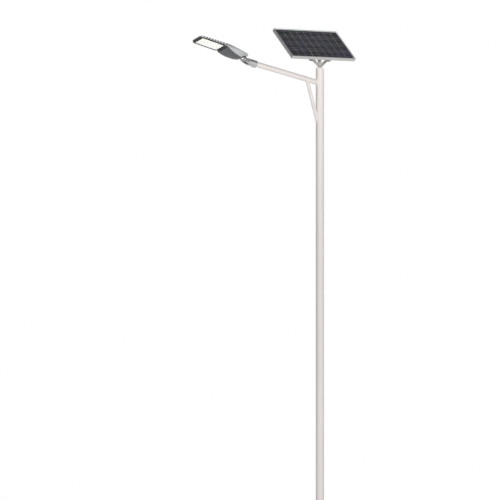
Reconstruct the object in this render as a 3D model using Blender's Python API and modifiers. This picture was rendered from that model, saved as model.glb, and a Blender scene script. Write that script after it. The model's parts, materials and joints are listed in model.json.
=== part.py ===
"""Solar street lamp: a bolted steel pole with a braced arm, a finned LED lamp head on a knuckle
at the end of the arm, and a solar panel on a swivelling and tilting bracket at the pole top.

Metres, +Z up.  The origin is on the pole's axis at the underside of the base flange.  The arm
reaches along -X, and the low edge of the panel faces -Y.
"""
import math

import bmesh
import bpy
from mathutils import Matrix, Vector

GAP = 0.0003                     # clearance between parts that touch

# Pole
POLE_RADIUS = 0.038
POLE_WALL = 0.003
POLE_TOP = 5.0
FLANGE_SIDE = 0.28
FLANGE_THICK = 0.014
ANCHOR_SPACING = 0.200
ANCHOR_RADIUS = 0.009
GUSSET_HEIGHT = 0.12
GUSSET_REACH = 0.128
GUSSET_THICK = 0.008

# Service door near the foot of the pole, facing -Y
DOOR_MIDDLE = 0.60
OPENING_HEIGHT = 0.28
OPENING_WIDTH = 0.046
DOOR_HEIGHT = 0.312
DOOR_HALF_ANGLE = math.radians(49)
DOOR_INNER = POLE_RADIUS + 0.0016
DOOR_THICK = 0.0025
DOOR_HINGE_RADIUS = 0.0460
DOOR_HINGE_ANGLE = math.radians(57)
DOOR_BARREL = 0.004
DOOR_PIN = 0.002

# Arm and brace
ARM_RADIUS = 0.024
ARM_WALL = 0.0025
ARM_ROOT_HEIGHT = 4.8604
ARM_PITCH = math.radians(12.44)
ARM_END = 0.757
BRACE_RADIUS = 0.016
BRACE_WALL = 0.0025
BRACE_REACH = 0.141
BRACE_FOOT = 4.545

# Panel bracket
STEM_RADIUS = 0.01345
STEM_WALL = 0.0026
STEM_FOOT = 4.925
SOCKET_BORE = 0.0139
SOCKET_RADIUS = 0.018
COLLAR_HEIGHT = 0.006
LOCK_BOLT_HEIGHT = 4.963
TILT_HEIGHT = 5.1026
TILT_REST = math.radians(39)
CROSS_RADIUS = 0.0125
CROSS_HALF = 0.087
STRUT_FOOT = 5.005
STRUT_ANGLE = math.radians(49)
PLATE_INNER = 0.0873
PLATE_THICK = 0.005
WEB_INNER = 0.0929
WEB_THICK = 0.0025
CLAMP_RADIUS = 0.038
CLAMP_ANGLE = math.radians(-25)
TILT_LOW = math.radians(10)
TILT_HIGH = math.radians(60)
LEAD_HOLE_HEIGHT = 5.058

# Panel
PANEL_WIDTH = 0.680
PANEL_LENGTH = 0.440
PANEL_CENTRE = 0.153             # up the slope from the tilt axis
FRAME_BACK = 0.012               # back plane of the frame above the tilt axis
FRAME_DEPTH = 0.030
FRAME_WALL = 0.0018
FRAME_FOOT = 0.022
FRAME_LIP = 0.008
RAIL_HEIGHT = 0.030
RAIL_FLANGE = 0.025
RAIL_START = -0.050
RAIL_END = 0.345

# Lamp adapter and knuckle, measured from the adapter's mouth along the arm
MOUTH = 0.697
SLEEVE_RADIUS = 0.031
SLEEVE_BORE = 0.0243
SLEEVE_LENGTH = 0.080
KNUCKLE_REACH = 0.133
KNUCKLE_RISE = 0.012
EAR_RADIUS = 0.018
LUG_HALF = 0.015
LAMP_ROLL = math.radians(13)
LAMP_PITCH = math.radians(15)

# Lamp head, in the knuckle's frame: x outwards, y across, z up
RIM_HEIGHT = 0.045
HOUSING_WALL = 0.003
BEZEL_LOW = 0.028
BEZEL_THICK = 0.0062
BEZEL_REAR = 0.2405
BEZEL_FRONT = 0.502
BEZEL_HALF = 0.083
WINDOW_REAR = 0.256
WINDOW_FRONT = 0.478
WINDOW_HALF = 0.0695
DECK_LOW = 0.0432
COVER_AXIS = (0.2355, 0.0308)
COVER_WALL = 0.0025
LATCH_PLACE = (0.064, -0.0195)

# Stations of the lamp housing: distance out from the knuckle, half width at the rim,
# crown height, half width at the lower edge, height of the lower edge
HOUSING_STATIONS = (
    (-0.034, 0.016, 0.050, 0.010, 0.038),
    (-0.026, 0.026, 0.056, 0.017, 0.033),
    (-0.010, 0.034, 0.060, 0.020, 0.027),
    (0.016, 0.041, 0.062, 0.022, 0.0225),
    (0.030, 0.044, 0.0635, 0.024, 0.009),
    (0.046, 0.047, 0.0648, 0.027, 0.000),
    (0.100, 0.061, 0.067, 0.047, 0.000),
    (0.150, 0.075, 0.068, 0.066, 0.004),
    (0.195, 0.083, 0.068, 0.079, 0.017),
    (0.235, 0.087, 0.067, 0.085, 0.0345),
    (0.300, 0.088, 0.065, 0.086, 0.0345),
    (0.450, 0.088, 0.060, 0.086, 0.0345),
    (0.488, 0.083, 0.055, 0.081, 0.0345),
    (0.504, 0.070, 0.048, 0.069, 0.0345),
)
# Stations of the compartment cover: distance out, depth of its belly
COVER_STATIONS = (
    (0.036, -0.004),
    (0.046, -0.015),
    (0.062, -0.020),
    (0.100, -0.022),
    (0.150, -0.012),
    (0.200, 0.004),
    (0.230, 0.014),
)

FINISHES = {
    "pole paint": ((0.83, 0.80, 0.77), 0.45, 0.0),
    "galvanised": ((0.60, 0.61, 0.62), 0.45, 0.9),
    "steel": ((0.55, 0.55, 0.56), 0.35, 1.0),
    "aluminium": ((0.78, 0.78, 0.79), 0.35, 1.0),
    "lamp grey": ((0.42, 0.43, 0.45), 0.45, 0.2),
    "cover grey": ((0.12, 0.12, 0.13), 0.50, 0.1),
    "black": ((0.015, 0.015, 0.016), 0.45, 0.0),
    "rubber": ((0.02, 0.02, 0.02), 0.80, 0.0),
    "glass": ((0.90, 0.94, 0.93), 0.05, 0.0),
    "cells": ((0.035, 0.025, 0.055), 0.25, 0.0),
    "white": ((0.85, 0.85, 0.84), 0.50, 0.0),
    "lens": ((0.95, 0.90, 0.60), 0.20, 0.0),
    "battery blue": ((0.03, 0.10, 0.35), 0.45, 0.0),
}


def clear_scene():
    for item in list(bpy.data.objects):
        bpy.data.objects.remove(item, do_unlink=True)


def new_collection(name):
    group = bpy.data.collections.new(name)
    bpy.context.scene.collection.children.link(group)
    return group


clear_scene()
LAMP = new_collection("solar_street_lamp")
TOOLS = new_collection("cutters")


# ---------------------------------------------------------------- building blocks

def frame_at(name, place, turn=(0, 0, 0), parent=None):
    """An empty that carries the pieces of one moving group."""
    empty = bpy.data.objects.new(name, None)
    empty.empty_display_size = 0.05
    LAMP.objects.link(empty)
    empty.parent = parent
    empty.location = place
    empty.rotation_euler = turn
    return empty


def add(name, mesh, parent=None, place=(0, 0, 0), turn=(0, 0, 0)):
    item = bpy.data.objects.new(name, mesh)
    LAMP.objects.link(item)
    item.parent = parent
    item.location = place
    item.rotation_euler = turn
    return item


def from_form(name, form, **where):
    bmesh.ops.recalc_face_normals(form, faces=form.faces)
    mesh = bpy.data.meshes.new(name)
    form.to_mesh(mesh)
    form.free()
    return add(name, mesh, **where)


def block(name, low, high, **where):
    """A box between two corners."""
    form = bmesh.new()
    bmesh.ops.create_cube(form, size=1.0)
    size = [top - bottom for bottom, top in zip(low, high)]
    middle = [(top + bottom) / 2 for bottom, top in zip(low, high)]
    bmesh.ops.scale(form, vec=size, verts=form.verts)
    bmesh.ops.translate(form, vec=middle, verts=form.verts)
    return from_form(name, form, **where)


def rod(name, start, end, radius, sides=24, **where):
    """A solid round bar between two points; six sides make a hexagon."""
    start = Vector(start)
    span = Vector(end) - start
    form = bmesh.new()
    bmesh.ops.create_cone(form, cap_ends=True, segments=sides, radius1=radius, radius2=radius,
                          depth=span.length)
    turn = Vector((0, 0, 1)).rotation_difference(span).to_matrix()
    bmesh.ops.rotate(form, cent=(0, 0, 0), matrix=turn, verts=form.verts)
    bmesh.ops.translate(form, vec=start + span / 2, verts=form.verts)
    item = from_form(name, form, **where)
    if sides > 6:
        smooth(item)
    return item


def smooth(item, limit=30):
    item.data.shade_smooth()
    item.data.set_sharp_from_angle(angle=math.radians(limit))


def turned(name, profile, sides=32, closed=True, **where):
    """A body of revolution about Z, from (radius, height) points down the outer side."""
    mesh = bpy.data.meshes.new(name)
    points = [(radius, 0, height) for radius, height in profile]
    edges = [(i, i + 1) for i in range(len(points) - 1)]
    if closed:
        edges.append((len(points) - 1, 0))
    mesh.from_pydata(points, edges, [])
    item = add(name, mesh, **where)
    screw = item.modifiers.new("turn", "SCREW")
    screw.steps = sides
    screw.render_steps = sides
    screw.use_merge_vertices = True
    screw.merge_threshold = 0.00005
    screw.use_smooth_shade = True
    return item


def tube(name, outer, wall, low, high, sides=48, **where):
    """A straight pipe along Z."""
    inner = outer - wall
    return turned(name, [(outer, high), (outer, low), (inner, low), (inner, high)], sides, **where)


def from_curve(name, path, **where):
    """The welded mesh of a curve's evaluated shape."""
    sketch = bpy.data.objects.new(name + "_outline", path)
    TOOLS.objects.link(sketch)
    bpy.context.view_layer.update()
    graph = bpy.context.evaluated_depsgraph_get()
    mesh = bpy.data.meshes.new_from_object(sketch.evaluated_get(graph))
    bpy.data.objects.remove(sketch)
    form = bmesh.new()
    form.from_mesh(mesh)
    bmesh.ops.remove_doubles(form, verts=form.verts, dist=0.00002)
    bpy.data.meshes.remove(mesh)
    return from_form(name, form, **where)


def plate(name, outline, thick, holes=(), **where):
    """A flat plate in the XY plane, from z = 0 up to its thickness."""
    path = bpy.data.curves.new(name, "CURVE")
    path.dimensions = "2D"
    path.fill_mode = "BOTH"
    path.extrude = thick / 2
    for ring in (outline, *holes):
        spline = path.splines.new("POLY")
        spline.points.add(len(ring) - 1)
        for point, (x, y) in zip(spline.points, ring):
            point.co = (x, y, 0, 1)
        spline.use_cyclic_u = True
    item = from_curve(name, path, **where)
    for vertex in item.data.vertices:
        vertex.co.z += thick / 2
    return item


def cord(name, route, radius, steps=5, cyclic=False, parent=None):
    """A round lead or seal along a smooth curve through the route's points."""
    path = bpy.data.curves.new(name, "CURVE")
    path.dimensions = "3D"
    path.bevel_depth = radius
    path.bevel_resolution = 2
    path.use_fill_caps = not cyclic
    spline = path.splines.new("POLY")
    points = smooth_route(route, steps, cyclic)
    spline.points.add(len(points) - 1)
    for point, place in zip(spline.points, points):
        point.co = (*place, 1)
    spline.use_cyclic_u = cyclic
    item = bpy.data.objects.new(name, path)
    LAMP.objects.link(item)
    item.parent = parent
    return item


def smooth_route(route, steps, cyclic=False):
    """Points on a curve that passes through every point of the route."""
    knots = [Vector(point) for point in route]
    if cyclic:
        knots = [knots[-1], *knots, knots[0], knots[1]]
    else:
        knots = [2 * knots[0] - knots[1], *knots, 2 * knots[-1] - knots[-2]]
    points = []
    for before, start, end, after in zip(knots, knots[1:], knots[2:], knots[3:]):
        for step in range(steps):
            t = step / steps
            points.append(0.5 * (2 * start + (end - before) * t
                                 + (2 * before - 5 * start + 4 * end - after) * t ** 2
                                 + (3 * start - before - 3 * end + after) * t ** 3))
    if not cyclic:
        points.append(knots[-2])
    return points


def arc(centre, radius, start, end, count):
    """Points of an arc about a centre, from one angle to another in degrees."""
    angles = [math.radians(start + (end - start) * i / (count - 1)) for i in range(count)]
    return [(centre[0] + radius * math.cos(a), centre[1] + radius * math.sin(a)) for a in angles]


def rounded(low, high, radius, count=5):
    """A rectangle with round corners."""
    corners = (((high[0] - radius, high[1] - radius), 0), ((low[0] + radius, high[1] - radius), 90),
               ((low[0] + radius, low[1] + radius), 180), ((high[0] - radius, low[1] + radius), 270))
    return [point for centre, start in corners for point in arc(centre, radius, start, start + 90, count)]


def combine(target, operation, tools):
    for tool in tools:
        for group in list(tool.users_collection):
            group.objects.unlink(tool)
        TOOLS.objects.link(tool)
        tool.hide_render = True
        tool.display_type = "WIRE"
        step = target.modifiers.new(tool.name, "BOOLEAN")
        step.operation = operation
        step.object = tool
        step.solver = "EXACT"


def carve(target, *tools):
    combine(target, "DIFFERENCE", tools)


def fuse(target, *tools):
    combine(target, "UNION", tools)


def trim(target, *tools):
    combine(target, "INTERSECT", tools)


def finish(item, kind):
    """Gives a part its own material."""
    colour, roughness, metallic = FINISHES[kind]
    surface = bpy.data.materials.new(item.name)
    surface.use_nodes = True
    shader = surface.node_tree.nodes["Principled BSDF"]
    shader.inputs["Base Color"].default_value = (*colour, 1)
    shader.inputs["Roughness"].default_value = roughness
    shader.inputs["Metallic"].default_value = metallic
    item.data.materials.append(surface)
    return item


def bolt(name, direction, tip, under_head, shank, head, head_high, nut=None, **where):
    """A hexagon bolt along an axis through the frame's origin, with its nut when it has one.

    The distances are measured along the direction, from the tip of the shank to the underside of
    the head; nut is the stretch that the nut covers.
    """
    axis = Vector(direction)
    item = rod(name, axis * tip, axis * (under_head + head_high / 2), shank, 16, **where)
    fuse(item, rod(name + "_head", axis * under_head, axis * (under_head + head_high), head, 6, **where))
    if nut:
        fuse(item, rod(name + "_nut", axis * nut[0], axis * nut[1], head, 6, **where))
    return finish(item, "steel")


# ---------------------------------------------------------------- pole

def pole_solid(name, low, high):
    """The space that the pole fills, for coping the tubes that butt against it."""
    return rod(name, (0, 0, low), (0, 0, high), POLE_RADIUS + GAP, 64)


def build_base_flange():
    half = FLANGE_SIDE / 2
    spread = ANCHOR_SPACING / 2
    holes = [arc((x, y), ANCHOR_RADIUS, 0, 345, 24) for x in (-spread, spread) for y in (-spread, spread)]
    flange = plate("base_flange", rounded((-half, -half), (half, half), 0.015), FLANGE_THICK, holes)
    inner = POLE_RADIUS + GAP
    for quarter in range(4):
        outline = [(inner, FLANGE_THICK / 2), (GUSSET_REACH, FLANGE_THICK / 2),
                   (GUSSET_REACH, FLANGE_THICK + 0.012), (inner + 0.015, FLANGE_THICK + GUSSET_HEIGHT),
                   (inner, FLANGE_THICK + GUSSET_HEIGHT)]
        angle = quarter * math.pi / 2
        place = (GUSSET_THICK / 2 * math.sin(angle), -GUSSET_THICK / 2 * math.cos(angle), 0)
        gusset = plate(f"gusset_{quarter}", outline, GUSSET_THICK, place=(-place[0], -place[1], 0),
                       turn=(math.pi / 2, 0, angle))
        fuse(flange, gusset)
    return finish(flange, "pole paint")


def build_pole_tube():
    pole = tube("pole_tube", POLE_RADIUS, POLE_WALL, FLANGE_THICK + GAP, POLE_TOP, sides=56)
    half = OPENING_HEIGHT / 2
    outline = rounded((-OPENING_WIDTH / 2, -half), (OPENING_WIDTH / 2, half), 0.012)
    doorway = plate("doorway", outline, 0.03, place=(0, -0.02, DOOR_MIDDLE), turn=(math.pi / 2, 0, 0))
    cable_hole = rod("arm_cable_hole", (-0.05, 0, 4.8665), (-0.02, 0, 4.8665), 0.016)
    bolt_hole = rod("lock_bolt_hole", (0, 0.02, LOCK_BOLT_HEIGHT), (0, 0.05, LOCK_BOLT_HEIGHT), 0.0043, 16)
    carve(pole, doorway, cable_hole, bolt_hole)
    return finish(pole, "pole paint")


def build_pole_cap():
    """The socket welded into the pole's top: a disc with a long bore for the bracket's stem."""
    disc = POLE_RADIUS - POLE_WALL - GAP
    top = POLE_TOP + COLLAR_HEIGHT
    low = STEM_FOOT - 0.004
    cap = turned("pole_cap", [(SOCKET_RADIUS, top), (SOCKET_RADIUS, POLE_TOP), (disc, POLE_TOP),
                              (disc, POLE_TOP - 0.006), (SOCKET_RADIUS, POLE_TOP - 0.006),
                              (SOCKET_RADIUS, low), (SOCKET_BORE, low), (SOCKET_BORE, top)], 32)
    carve(cap, rod("cap_bolt_hole", (0, 0.005, LOCK_BOLT_HEIGHT), (0, 0.03, LOCK_BOLT_HEIGHT), 0.0043, 16))
    return finish(cap, "galvanised")


def build_swivel_lock_bolt():
    return bolt("swivel_lock_bolt", (0, 1, 0), STEM_RADIUS + GAP, POLE_RADIUS + 0.001, 0.004, 0.0075,
                0.0053, place=(0, 0, LOCK_BOLT_HEIGHT))


def build_arm_tube(arm):
    pipe = tube("arm_tube", ARM_RADIUS, ARM_WALL, 0, ARM_END, parent=arm, turn=(0, math.pi / 2, 0))
    carve(pipe, pole_solid("arm_coping", 4.7, 5.0))
    return finish(pipe, "pole paint")


def build_brace_tube(arm):
    """A tube from the underside of the arm down to the side of the pole."""
    head = Vector((-BRACE_REACH, 0, ARM_ROOT_HEIGHT + BRACE_REACH * math.tan(ARM_PITCH)))
    slope = math.atan2(BRACE_REACH - POLE_RADIUS, head.z - BRACE_FOOT)
    length = (head.z - BRACE_FOOT) / math.cos(slope) + 0.08
    pipe = tube("brace_tube", BRACE_RADIUS, BRACE_WALL, -length, 0, 32, place=head,
                turn=(0, -slope, 0))
    arm_space = rod("brace_arm_coping", (-0.1, 0, 0), (0.4, 0, 0), ARM_RADIUS + GAP, 48, parent=arm)
    carve(pipe, arm_space, pole_solid("brace_pole_coping", 4.3, 4.9))
    return finish(pipe, "pole paint")


def build_feed_cable():
    """The supply lead, from the foot of the bracket's stem down a loop and out along the arm."""
    def on_arm(along):
        return (-along * math.cos(ARM_PITCH), 0, ARM_ROOT_HEIGHT + along * math.sin(ARM_PITCH))
    route = [(0, 0, STEM_FOOT - GAP), (0.003, 0, 4.900), (0.008, 0, 4.870), (0.004, 0, 4.842),
             (-0.010, 0, 4.832), (-0.025, 0, 4.848), (-0.041, 0, 4.864), on_arm(0.09), on_arm(0.16),
             on_arm(0.45), on_arm(ARM_END)]
    return finish(cord("feed_cable", route, 0.0032, steps=4), "rubber")


def build_earth_stud():
    """Threaded stud with its nut, welded to the inside of the pole behind the door."""
    inner = POLE_RADIUS - POLE_WALL - GAP
    stud = rod("earth_stud", (0, inner, 0.52), (0, inner - 0.024, 0.52), 0.004, 16)
    fuse(stud, rod("earth_nut", (0, inner - 0.016, 0.52), (0, inner - 0.0095, 0.52), 0.0075, 6))
    return finish(stud, "steel")


# ---------------------------------------------------------------- service door

def curved_band(name, inner, thick, half_angle, low, high, centre=-90, offset=(0, 0), parent=None):
    """A piece of pipe wall about the pole's axis."""
    half = math.degrees(half_angle)
    outline = arc((0, 0), inner, centre - half, centre + half, 21)
    outline += arc((0, 0), inner + thick, centre + half, centre - half, 21)
    return plate(name, outline, high - low, place=(*offset, low), parent=parent)


def hinge_point():
    return (DOOR_HINGE_RADIUS * math.sin(DOOR_HINGE_ANGLE), -DOOR_HINGE_RADIUS * math.cos(DOOR_HINGE_ANGLE))


def build_door_hinge():
    """Two barrels on feet welded to the pole, and the pin through them and the door's barrel."""
    x, y = hinge_point()
    centre = math.degrees(DOOR_HINGE_ANGLE) - 90
    for name, low in (("door_hinge_lower", DOOR_MIDDLE - 0.126), ("door_hinge_upper", DOOR_MIDDLE + 0.096)):
        barrel = rod(name, (x, y, low), (x, y, low + 0.030), DOOR_BARREL, 20)
        fuse(barrel, curved_band(name + "_foot", POLE_RADIUS + GAP, 0.0060, math.radians(3.5), low,
                                 low + 0.030, centre + 4))
        carve(barrel, rod(name + "_bore", (x, y, low - 0.01), (x, y, low + 0.04), DOOR_PIN + 0.0002, 16))
        finish(barrel, "galvanised")
    top = DOOR_MIDDLE + 0.1265
    pin = rod("door_hinge_pin", (x, y, DOOR_MIDDLE - 0.129), (x, y, top + 0.001), DOOR_PIN, 16)
    fuse(pin, rod("pin_head", (x, y, top), (x, y, top + 0.002), 0.0036, 16))
    finish(pin, "steel")


def build_pole_door(hinge):
    """Curved cover with its hinge barrel, and the rubber seal behind it."""
    x, y = hinge_point()
    half = DOOR_HEIGHT / 2
    door = curved_band("pole_door", DOOR_INNER, DOOR_THICK, DOOR_HALF_ANGLE, DOOR_MIDDLE - half,
                       DOOR_MIDDLE + half, offset=(-x, -y), parent=hinge)
    low = DOOR_MIDDLE - 0.0955
    high = DOOR_MIDDLE + 0.0955
    leaf = curved_band("door_leaf", DOOR_INNER + 0.0005, DOOR_THICK + 0.002, math.radians(6), low, high,
                       -38.5)
    barrel = rod("door_barrel", (x, y, low), (x, y, high), DOOR_BARREL, 20)
    fuse(door, leaf, barrel)
    carve(door, rod("door_barrel_bore", (x, y, low - 0.01), (x, y, high + 0.01), DOOR_PIN + 0.0002, 16),
          rod("door_lock_hole", (0, -0.06, DOOR_MIDDLE), (0, -0.03, DOOR_MIDDLE), 0.0058, 20))
    finish(door, "pole paint")
    seal_thick = DOOR_INNER - POLE_RADIUS - 2 * GAP
    seal = curved_band("door_seal", POLE_RADIUS + GAP, seal_thick, math.radians(46.5), DOOR_MIDDLE - 0.150,
                       DOOR_MIDDLE + 0.150, offset=(-x, -y), parent=hinge)
    window = rounded((-0.025, -0.142), (0.025, 0.142), 0.008)
    carve(seal, plate("seal_window", window, 0.04, place=(0, -0.02, DOOR_MIDDLE), turn=(math.pi / 2, 0, 0)))
    finish(seal, "rubber")


def build_door_lock(lock):
    """Triangle-key stud that reaches through the door to the bar inside the pole."""
    stud = rod("door_lock", (0, -0.0115, 0), (0, 0.0165, 0), 0.004, 20, parent=lock)
    collar = rod("lock_collar", (0, -0.0128, 0), (0, -0.0103, 0), 0.0085, 24, parent=lock)
    key = rod("lock_triangle", (0, -0.0165, 0), (0, -0.010, 0), 0.0052, 3, parent=lock)
    fuse(stud, collar, key)
    finish(stud, "steel")


def build_lock_bar():
    """Flat bar welded across the doorway inside the pole, with the hole that takes the lock."""
    reach = 0.0275
    bar = block("door_lock_bar", (-reach, -0.0195, DOOR_MIDDLE - 0.012),
                (reach, -0.0155, DOOR_MIDDLE + 0.012))
    carve(bar, rod("lock_bar_hole", (0, -0.03, DOOR_MIDDLE), (0, 0, DOOR_MIDDLE), 0.0046, 20))
    finish(bar, "galvanised")


# ---------------------------------------------------------------- panel bracket

def build_bracket(swivel):
    """Stem, two struts, two pivot plates and the cross tube; all swivel on the pole together."""
    rise = TILT_HEIGHT - POLE_TOP
    stem = tube("bracket_stem", STEM_RADIUS, STEM_WALL, STEM_FOOT - POLE_TOP, rise, 32, parent=swivel)
    cross_space = rod("cross_coping", (-0.1, 0, rise), (0.1, 0, rise), CROSS_RADIUS + GAP, 32, parent=swivel)
    hole_height = LEAD_HOLE_HEIGHT - POLE_TOP
    lead_hole = rod("lead_hole", (0, 0.005, hole_height), (0, 0.02, hole_height), 0.0048, 16, parent=swivel)
    carve(stem, cross_space, lead_hole)
    finish(stem, "galvanised")

    cross = turned("cross_tube", [(CROSS_RADIUS, CROSS_HALF), (CROSS_RADIUS, -CROSS_HALF),
                                  (CROSS_RADIUS - 0.0025, -CROSS_HALF), (CROSS_RADIUS - 0.0025, CROSS_HALF)],
                   32, parent=swivel, place=(0, 0, rise), turn=(0, math.pi / 2, 0))
    finish(cross, "galvanised")

    stem_space = rod("stem_space", (0, 0, -0.1), (0, 0, 0.2), STEM_RADIUS + GAP, 32, parent=swivel)
    foot = STRUT_FOOT - POLE_TOP + 0.004
    for name, side in (("left", -1), ("right", 1)):
        strut = tube(f"bracket_strut_{name}", CROSS_RADIUS, 0.0025, 0, 0.14, 32, parent=swivel,
                     place=(0, 0, foot), turn=(0, side * STRUT_ANGLE, 0))
        outside = block(f"beyond_plate_{name}", (PLATE_INNER - GAP, -0.05, -0.05), (0.2, 0.05, 0.2),
                        parent=swivel)
        outside.scale.x = side
        below = block(f"below_strut_{name}", (-0.05, -0.05, -0.06), (0.05, 0.05, COLLAR_HEIGHT + GAP),
                      parent=swivel)
        centre_line = block(f"centre_line_{name}", (-0.06, -0.05, -0.06), (-0.0002, 0.05, 0.2), parent=swivel)
        centre_line.scale.x = side
        carve(strut, stem_space, cross_space, outside, below, centre_line)
        finish(strut, "galvanised")
        build_pivot_plate(swivel, name, side, rise)


def clamp_place(radius=CLAMP_RADIUS):
    return (radius * math.cos(CLAMP_ANGLE), radius * math.sin(CLAMP_ANGLE))


def build_pivot_plate(swivel, name, side, rise):
    """Plate with the pivot hole and the clamp hole, welded to a strut and the cross tube's end."""
    clamp = clamp_place()
    outline = arc((0, 0), 0.0165, 62, 180, 9)
    outline += arc((-0.0005, -0.028), 0.016, 180, 270, 6)
    outline += arc(clamp, 0.0125, -80, 62, 9)
    holes = [arc((0, 0), 0.0042, 0, 345, 16), arc(clamp, 0.0042, 0, 345, 16)]
    inner = side * PLATE_INNER
    item = plate(f"pivot_plate_{name}", outline, PLATE_THICK, holes, parent=swivel,
                 place=(min(inner, inner + side * PLATE_THICK), 0, rise), turn=(math.pi / 2, 0, math.pi / 2))
    finish(item, "galvanised")


def build_bracket_bolts(swivel):
    rise = TILT_HEIGHT - POLE_TOP
    outer = WEB_INNER + WEB_THICK + GAP
    clamp = clamp_place()
    for name, side in (("left", -1), ("right", 1)):
        bolt(f"tilt_bolt_{name}", (side, 0, 0), PLATE_INNER - 0.010, outer, 0.004, 0.0075, 0.0053,
             (PLATE_INNER - 0.0072, PLATE_INNER - GAP), parent=swivel, place=(0, 0, rise))
        bolt(f"clamp_bolt_{name}", (side, 0, 0), PLATE_INNER - 0.010, outer, 0.004, 0.0075, 0.0053,
             (PLATE_INNER - 0.0072, PLATE_INNER - GAP), parent=swivel, place=(0, clamp[0], rise + clamp[1]))


def build_stem_lead(swivel):
    high = LEAD_HOLE_HEIGHT - POLE_TOP
    low = STEM_FOOT - POLE_TOP
    route = [(0, 0.0104, high), (0, 0.006, high - 0.006), (0, 0.002, high - 0.020), (0, 0, high - 0.040),
             (0, 0, low)]
    finish(cord("stem_lead", route, 0.003, steps=4, parent=swivel), "rubber")


# ---------------------------------------------------------------- panel

def build_rails(tilt):
    """Channel rails under the panel, each with a slotted quadrant that the clamp bolt runs in."""
    top = FRAME_BACK - GAP
    low = top - RAIL_HEIGHT
    for name, side in (("left", -1), ("right", 1)):
        web = side * WEB_INNER
        outline = [(web, top), (web, low), (web + side * RAIL_FLANGE, low),
                   (web + side * RAIL_FLANGE, low + WEB_THICK), (web + side * WEB_THICK, low + WEB_THICK),
                   (web + side * WEB_THICK, top - WEB_THICK), (web + side * RAIL_FLANGE, top - WEB_THICK),
                   (web + side * RAIL_FLANGE, top)]
        rail = plate(f"panel_rail_{name}", outline, RAIL_END - RAIL_START, parent=tilt,
                     place=(0, RAIL_END, 0), turn=(math.pi / 2, 0, 0))
        notch = block(f"rail_notch_{name}", (WEB_INNER + WEB_THICK, RAIL_START - 0.01, low - 0.01),
                      (0.2, 0.055, low + 0.008), parent=tilt)
        notch.scale.x = side
        carve(rail, notch)
        fuse(rail, build_quadrant(tilt, name, side, low))
        carve(rail, rod(f"pivot_hole_{name}", (side * 0.08, 0, 0), (side * 0.11, 0, 0), 0.0042, 16,
                        parent=tilt), build_clamp_slot(tilt, name, side))
        finish(rail, "galvanised")


def quadrant_angles():
    """The slot's two ends in the panel's frame, in degrees."""
    return math.degrees(CLAMP_ANGLE - TILT_HIGH), math.degrees(CLAMP_ANGLE - TILT_LOW)


def build_quadrant(tilt, name, side, low):
    first, last = quadrant_angles()
    outline = arc((0, 0), 0.048, first - 9, last + 9, 13)
    outline += [(0.048, low + 0.004), (-0.016, low + 0.004)]
    web = side * WEB_INNER
    return plate(f"quadrant_{name}", outline, WEB_THICK, parent=tilt,
                 place=(min(web, web + side * WEB_THICK), 0, 0), turn=(math.pi / 2, 0, math.pi / 2))


def build_clamp_slot(tilt, name, side):
    first, last = quadrant_angles()
    half = 0.0044
    outline = arc((0, 0), CLAMP_RADIUS + half, first, last, 11)
    outline += arc(polar(CLAMP_RADIUS, last), half, last, last + 180, 7)[1:-1]
    outline += arc((0, 0), CLAMP_RADIUS - half, last, first, 11)
    outline += arc(polar(CLAMP_RADIUS, first), half, first - 180, first, 7)[1:-1]
    return plate(f"clamp_slot_{name}", outline, 0.02, parent=tilt,
                 place=(side * WEB_INNER - 0.01, 0, 0), turn=(math.pi / 2, 0, math.pi / 2))


def polar(radius, degrees):
    return (radius * math.cos(math.radians(degrees)), radius * math.sin(math.radians(degrees)))


def frame_profile():
    """Section of the frame as (distance in from the outer face, height above the back plane)."""
    groove = FRAME_DEPTH - 0.0064
    return [(0, 0), (FRAME_FOOT, 0), (FRAME_FOOT, FRAME_WALL), (FRAME_WALL, FRAME_WALL),
            (FRAME_WALL, groove - 0.0014), (FRAME_LIP, groove - 0.0014), (FRAME_LIP, groove),
            (FRAME_WALL, groove), (FRAME_WALL, FRAME_DEPTH - 0.0013), (FRAME_LIP, FRAME_DEPTH - 0.0013),
            (FRAME_LIP, FRAME_DEPTH), (0, FRAME_DEPTH)]


def build_frame_member(tilt, name, length, place, angle):
    """One mitred side of the frame: the section runs along x, and its inside faces +y."""
    form = bmesh.new()
    profile = frame_profile()
    ends = []
    for side in (-1, 1):
        half = length / 2
        ends.append([form.verts.new((side * (half - inwards - GAP), inwards, height))
                     for inwards, height in profile])
    form.faces.new(ends[0])
    form.faces.new(list(reversed(ends[1])))
    for i in range(len(profile)):
        j = (i + 1) % len(profile)
        form.faces.new((ends[0][j], ends[0][i], ends[1][i], ends[1][j]))
    member = from_form(name, form, parent=tilt, place=place, turn=(0, 0, angle))
    finish(member, "aluminium")


def build_panel(tilt):
    half_width = PANEL_WIDTH / 2
    half_length = PANEL_LENGTH / 2
    low = PANEL_CENTRE - half_length
    high = PANEL_CENTRE + half_length
    build_frame_member(tilt, "frame_front", PANEL_WIDTH, (0, low, FRAME_BACK), 0)
    build_frame_member(tilt, "frame_rear", PANEL_WIDTH, (0, high, FRAME_BACK), math.pi)
    for name, side in (("frame_left", -1), ("frame_right", 1)):
        build_frame_member(tilt, name, PANEL_LENGTH, (side * half_width, PANEL_CENTRE, FRAME_BACK),
                           side * math.pi / 2)
    groove = FRAME_BACK + FRAME_DEPTH - 0.0064
    inset = FRAME_WALL + GAP
    for name, bottom, thick, kind in (("backsheet", 0.0003, 0.0003, "white"),
                                      ("cell_sheet", 0.0009, 0.0006, "cells"),
                                      ("panel_glass", 0.0018, 0.0030, "glass")):
        sheet = block(name, (-half_width + inset, low + inset, groove + bottom),
                      (half_width - inset, high - inset, groove + bottom + thick), parent=tilt)
        finish(sheet, kind)


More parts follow.
